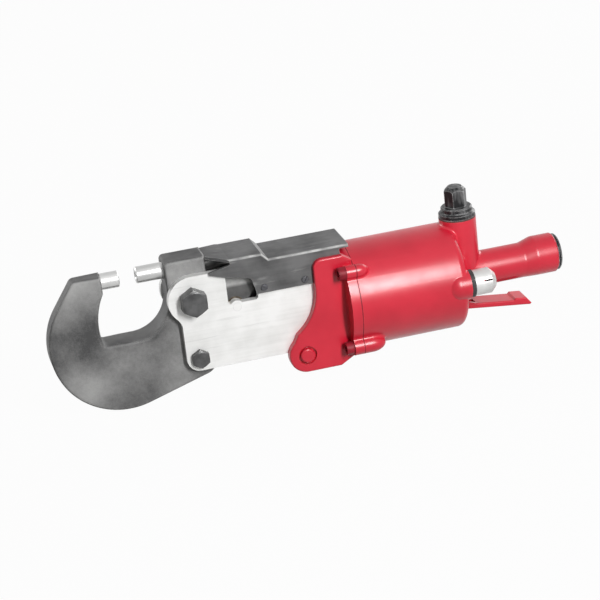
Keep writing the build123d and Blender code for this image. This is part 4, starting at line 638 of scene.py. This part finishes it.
def slotted_screw():
    """One cover screw on the near side: domed head, slot and shank."""
    bpy.ops.object.select_all(action="DESELECT")
    seat = Vector((SCREW_X[0], -SCREW_SEAT_Y, SCREW_Z))
    bpy.ops.mesh.primitive_cylinder_add(
        vertices=SCREW_SIDES, radius=SCREW_HEAD_R, depth=SCREW_HEAD_H,
        location=seat - Vector((0, SCREW_HEAD_H / 2, 0)), rotation=(math.pi / 2, 0, 0),
    )
    screw = bpy.context.object
    settle()
    pick_faces(screw, lambda face: face.normal.y > LOOKS_ALONG)
    bpy.ops.mesh.inset(thickness=SCREW_HEAD_R - SCREW_SHANK_R)
    bpy.ops.mesh.extrude_region_move(TRANSFORM_OT_translate={"value": (0, SCREW_SHANK, 0)})
    bpy.ops.object.mode_set(mode="OBJECT")
    pick_faces(screw, lambda face: face.normal.y < -LOOKS_ALONG)
    bpy.ops.mesh.bevel(offset=SCREW_DOME, segments=SCREW_DOME_STEPS, affect="EDGES")
    bpy.ops.object.mode_set(mode="OBJECT")
    bpy.ops.object.select_all(action="DESELECT")
    # The cutter reaches past the head on both sides, and half of its depth stands outside
    bpy.ops.mesh.primitive_cube_add(
        size=1, location=seat - Vector((0, SCREW_HEAD_H, 0)),
        scale=(3 * SCREW_HEAD_R, 2 * SCREW_SLOT_DEPTH, SCREW_SLOT),
    )
    cutter = bpy.context.object
    settle()
    take(screw)
    cut = screw.modifiers.new("slot", "BOOLEAN")
    cut.operation = "DIFFERENCE"
    cut.object = cutter
    bpy.ops.object.modifier_apply(modifier=cut.name)
    bpy.ops.object.shade_smooth_by_angle(angle=SMOOTH_ANGLE)
    bpy.data.objects.remove(cutter)
    return screw


def cover_screws():
    """Four copies of the slotted screw, two on each side, each with its slot turned its own way."""
    first = slotted_screw()
    home = Matrix.Translation((SCREW_X[0], 0, SCREW_Z))
    places = [(x, side) for side in (0, math.pi) for x in SCREW_X]
    for number, ((x, side), turn) in enumerate(zip(places, SCREW_TURNS), 1):
        screw = first.copy()
        screw.data = first.data.copy()
        bpy.context.scene.collection.objects.link(screw)
        turned = Matrix.Rotation(side, 4, "Z") @ Matrix.Rotation(math.radians(turn), 4, "Y")
        screw.matrix_world = Matrix.Translation((x, 0, SCREW_Z)) @ turned @ home.inverted()
        take(screw)
        settle()
        join_tool(screw, f"cover_screw_{number}", "cover_sheet")
        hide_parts("cover_screws")
    bpy.data.objects.remove(first)


def wind(piece, turns, length, place, turn):
    """Winds a flat closed profile to a helix along Z with closed ends, and lays it at its place."""
    corners = len(piece.data.vertices)
    screw = piece.modifiers.new("helix", "SCREW")
    screw.angle = 2 * math.pi * turns
    screw.screw_offset = length
    screw.steps = screw.render_steps = round(HELIX_STEPS * turns)
    screw.use_merge_vertices = False
    bpy.ops.object.modifier_apply(modifier=screw.name)
    bpy.ops.object.mode_set(mode="EDIT")
    bpy.ops.mesh.select_all(action="SELECT")
    bpy.ops.mesh.fill_holes(sides=corners)
    bpy.ops.mesh.select_all(action="SELECT")
    bpy.ops.mesh.normals_make_consistent(inside=False)
    bpy.ops.object.mode_set(mode="OBJECT")
    piece.rotation_euler = turn
    piece.location = place
    settle()
    bpy.ops.object.shade_smooth_by_angle(angle=SMOOTH_ANGLE)


def thread_ridge(thread, length, place, turn, inside=False):
    """Helical ridge of a thread, three-cornered, outside on a bolt or inside in a bore."""
    pitch, r, height = thread
    profile_r = THREAD_PROFILE * pitch
    reach = profile_r - height
    bpy.ops.object.select_all(action="DESELECT")
    bpy.ops.mesh.primitive_circle_add(
        vertices=3, radius=profile_r, location=(r + reach if inside else r - reach, 0, 0),
        rotation=(math.pi / 2, -math.pi / 2 if inside else math.pi / 2, 0),
    )
    ridge = bpy.context.object
    settle()
    wind(ridge, length / pitch, length, place, turn)
    return ridge


def threads():
    """Threads in the air inlet and on the bolt ends that stand out of their nuts."""
    to_far, to_front = (-math.pi / 2, 0, 0), (0, -math.pi / 2, 0)
    inlet = thread_ridge(
        INLET_THREAD, INLET_THREAD_LENGTH, INLET_THREAD_START, to_front, inside=True,
    )
    join_tool(inlet, "inlet_thread", "black_fitting")
    upper = thread_ridge(YOKE_THREAD, SIDE_THREAD_LENGTH, YOKE_THREAD_START, to_far)
    join_tool(upper, "yoke_bolt_thread", "dark_bolt")
    lower = thread_ridge(LOWER_THREAD, SIDE_THREAD_LENGTH, LOWER_THREAD_START, to_far)
    join_tool(lower, "lower_bolt_thread", "dark_bolt")
    ear = thread_ridge(EAR_THREAD, EAR_THREAD_LENGTH, EAR_THREAD_START, to_far)
    join_tool(ear, "ear_bolt_thread", "red_enamel")


def coil_spring(spring, place, turn):
    """Coil of round wire."""
    r, wire_r, turns, length = spring
    bpy.ops.object.select_all(action="DESELECT")
    bpy.ops.mesh.primitive_circle_add(
        vertices=WIRE_SIDES, radius=wire_r, location=(r, 0, 0), rotation=(math.pi / 2, 0, 0),
    )
    coil = bpy.context.object
    settle()
    wind(coil, turns, length, place, turn)
    return coil


def springs():
    """Coiled springs of the piston and the throttle valve, in place of their plain nodes."""
    back = coil_spring(RETURN_SPRING, RETURN_SPRING_START, (0, math.pi / 2, 0))
    join_tool(back, "return_spring_coil", "spring_wire")
    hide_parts("piston_return_spring")
    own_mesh(back)
    valve = coil_spring(VALVE_SPRING, VALVE_SPRING_START, (0, 0, 0))
    join_tool(valve, "valve_spring_coil", "spring_wire")
    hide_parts("valve_spring")
    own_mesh(valve)


def sight_rays(tree):
    """Socket that is 1 for rays that show the stage: the camera's own, mirrored and passed on."""
    seen = tree.nodes.new("ShaderNodeLightPath")
    total = seen.outputs["Is Camera Ray"]
    for kind in ("Is Glossy Ray", "Is Transmission Ray"):
        larger = tree.nodes.new("ShaderNodeMath")
        larger.operation = "MAXIMUM"
        tree.links.new(total, larger.inputs[0])
        tree.links.new(seen.outputs[kind], larger.inputs[1])
        total = larger.outputs[0]
    return total


def lay_floor():
    """Pale floor that shows white to the camera and keeps a trace of the tool's shadow."""
    bpy.ops.object.select_all(action="DESELECT")
    bpy.ops.mesh.primitive_plane_add(size=FLOOR_SIDE, location=(0, 0, cad_low.z - FLOOR_DROP))
    floor = bpy.context.object
    floor.name = "floor"
    material = bpy.data.materials.new("pale_floor")
    material.use_nodes = True
    tree = material.node_tree
    tree.nodes.clear()
    share = tree.nodes.new("ShaderNodeMath")
    share.operation = "MULTIPLY"
    share.inputs[1].default_value = FLOOR_GLOW
    tree.links.new(sight_rays(tree), share.inputs[0])
    matt = tree.nodes.new("ShaderNodeBsdfDiffuse")
    matt.inputs["Color"].default_value = FLOOR_TONE
    glow = tree.nodes.new("ShaderNodeEmission")
    mix = tree.nodes.new("ShaderNodeMixShader")
    out = tree.nodes.new("ShaderNodeOutputMaterial")
    tree.links.new(share.outputs[0], mix.inputs["Fac"])
    tree.links.new(matt.outputs["BSDF"], mix.inputs[1])
    tree.links.new(glow.outputs["Emission"], mix.inputs[2])
    tree.links.new(mix.outputs["Shader"], out.inputs["Surface"])
    floor.data.materials.append(material)


def soft_lamp(name, azimuth, elevation, distance, width, height, power):
    """Soft lamp that looks at the middle of the tool.

    Azimuth 0 is on the near side, and above zero is to the right.
    """
    middle = (cad_low + cad_high) / 2
    azimuth, elevation = math.radians(azimuth), math.radians(elevation)
    way = Vector((
        math.sin(azimuth) * math.cos(elevation),
        -math.cos(azimuth) * math.cos(elevation),
        math.sin(elevation),
    ))
    data = bpy.data.lights.new(name, "AREA")
    data.shape = "RECTANGLE"
    data.size = width
    data.size_y = height
    data.energy = power
    lamp = bpy.data.objects.new(name, data)
    bpy.context.scene.collection.objects.link(lamp)
    lamp.location = middle + way * distance
    lamp.rotation_mode = "QUATERNION"
    lamp.rotation_quaternion = (-way).to_track_quat("-Z", "Y")


def light_stage():
    """The lamps, and a world that shows white but hardly lights."""
    for lamp in LAMPS:
        soft_lamp(*lamp)
    world = bpy.data.worlds.new("studio")
    bpy.context.scene.world = world
    world.use_nodes = True
    tree = world.node_tree
    strength = tree.nodes.new("ShaderNodeMapRange")
    strength.inputs["To Min"].default_value = WORLD_LIGHT
    strength.inputs["To Max"].default_value = WORLD_GLOW
    tree.links.new(sight_rays(tree), strength.inputs["Value"])
    background = tree.nodes["Background"]
    background.inputs["Color"].default_value = (1, 1, 1, 1)
    tree.links.new(strength.outputs["Result"], background.inputs["Strength"])


place_camera()
paint_nodes()
cover_screws()
threads()
springs()
lay_floor()
light_stage()
bpy.context.scene.view_settings.view_transform = "Standard"
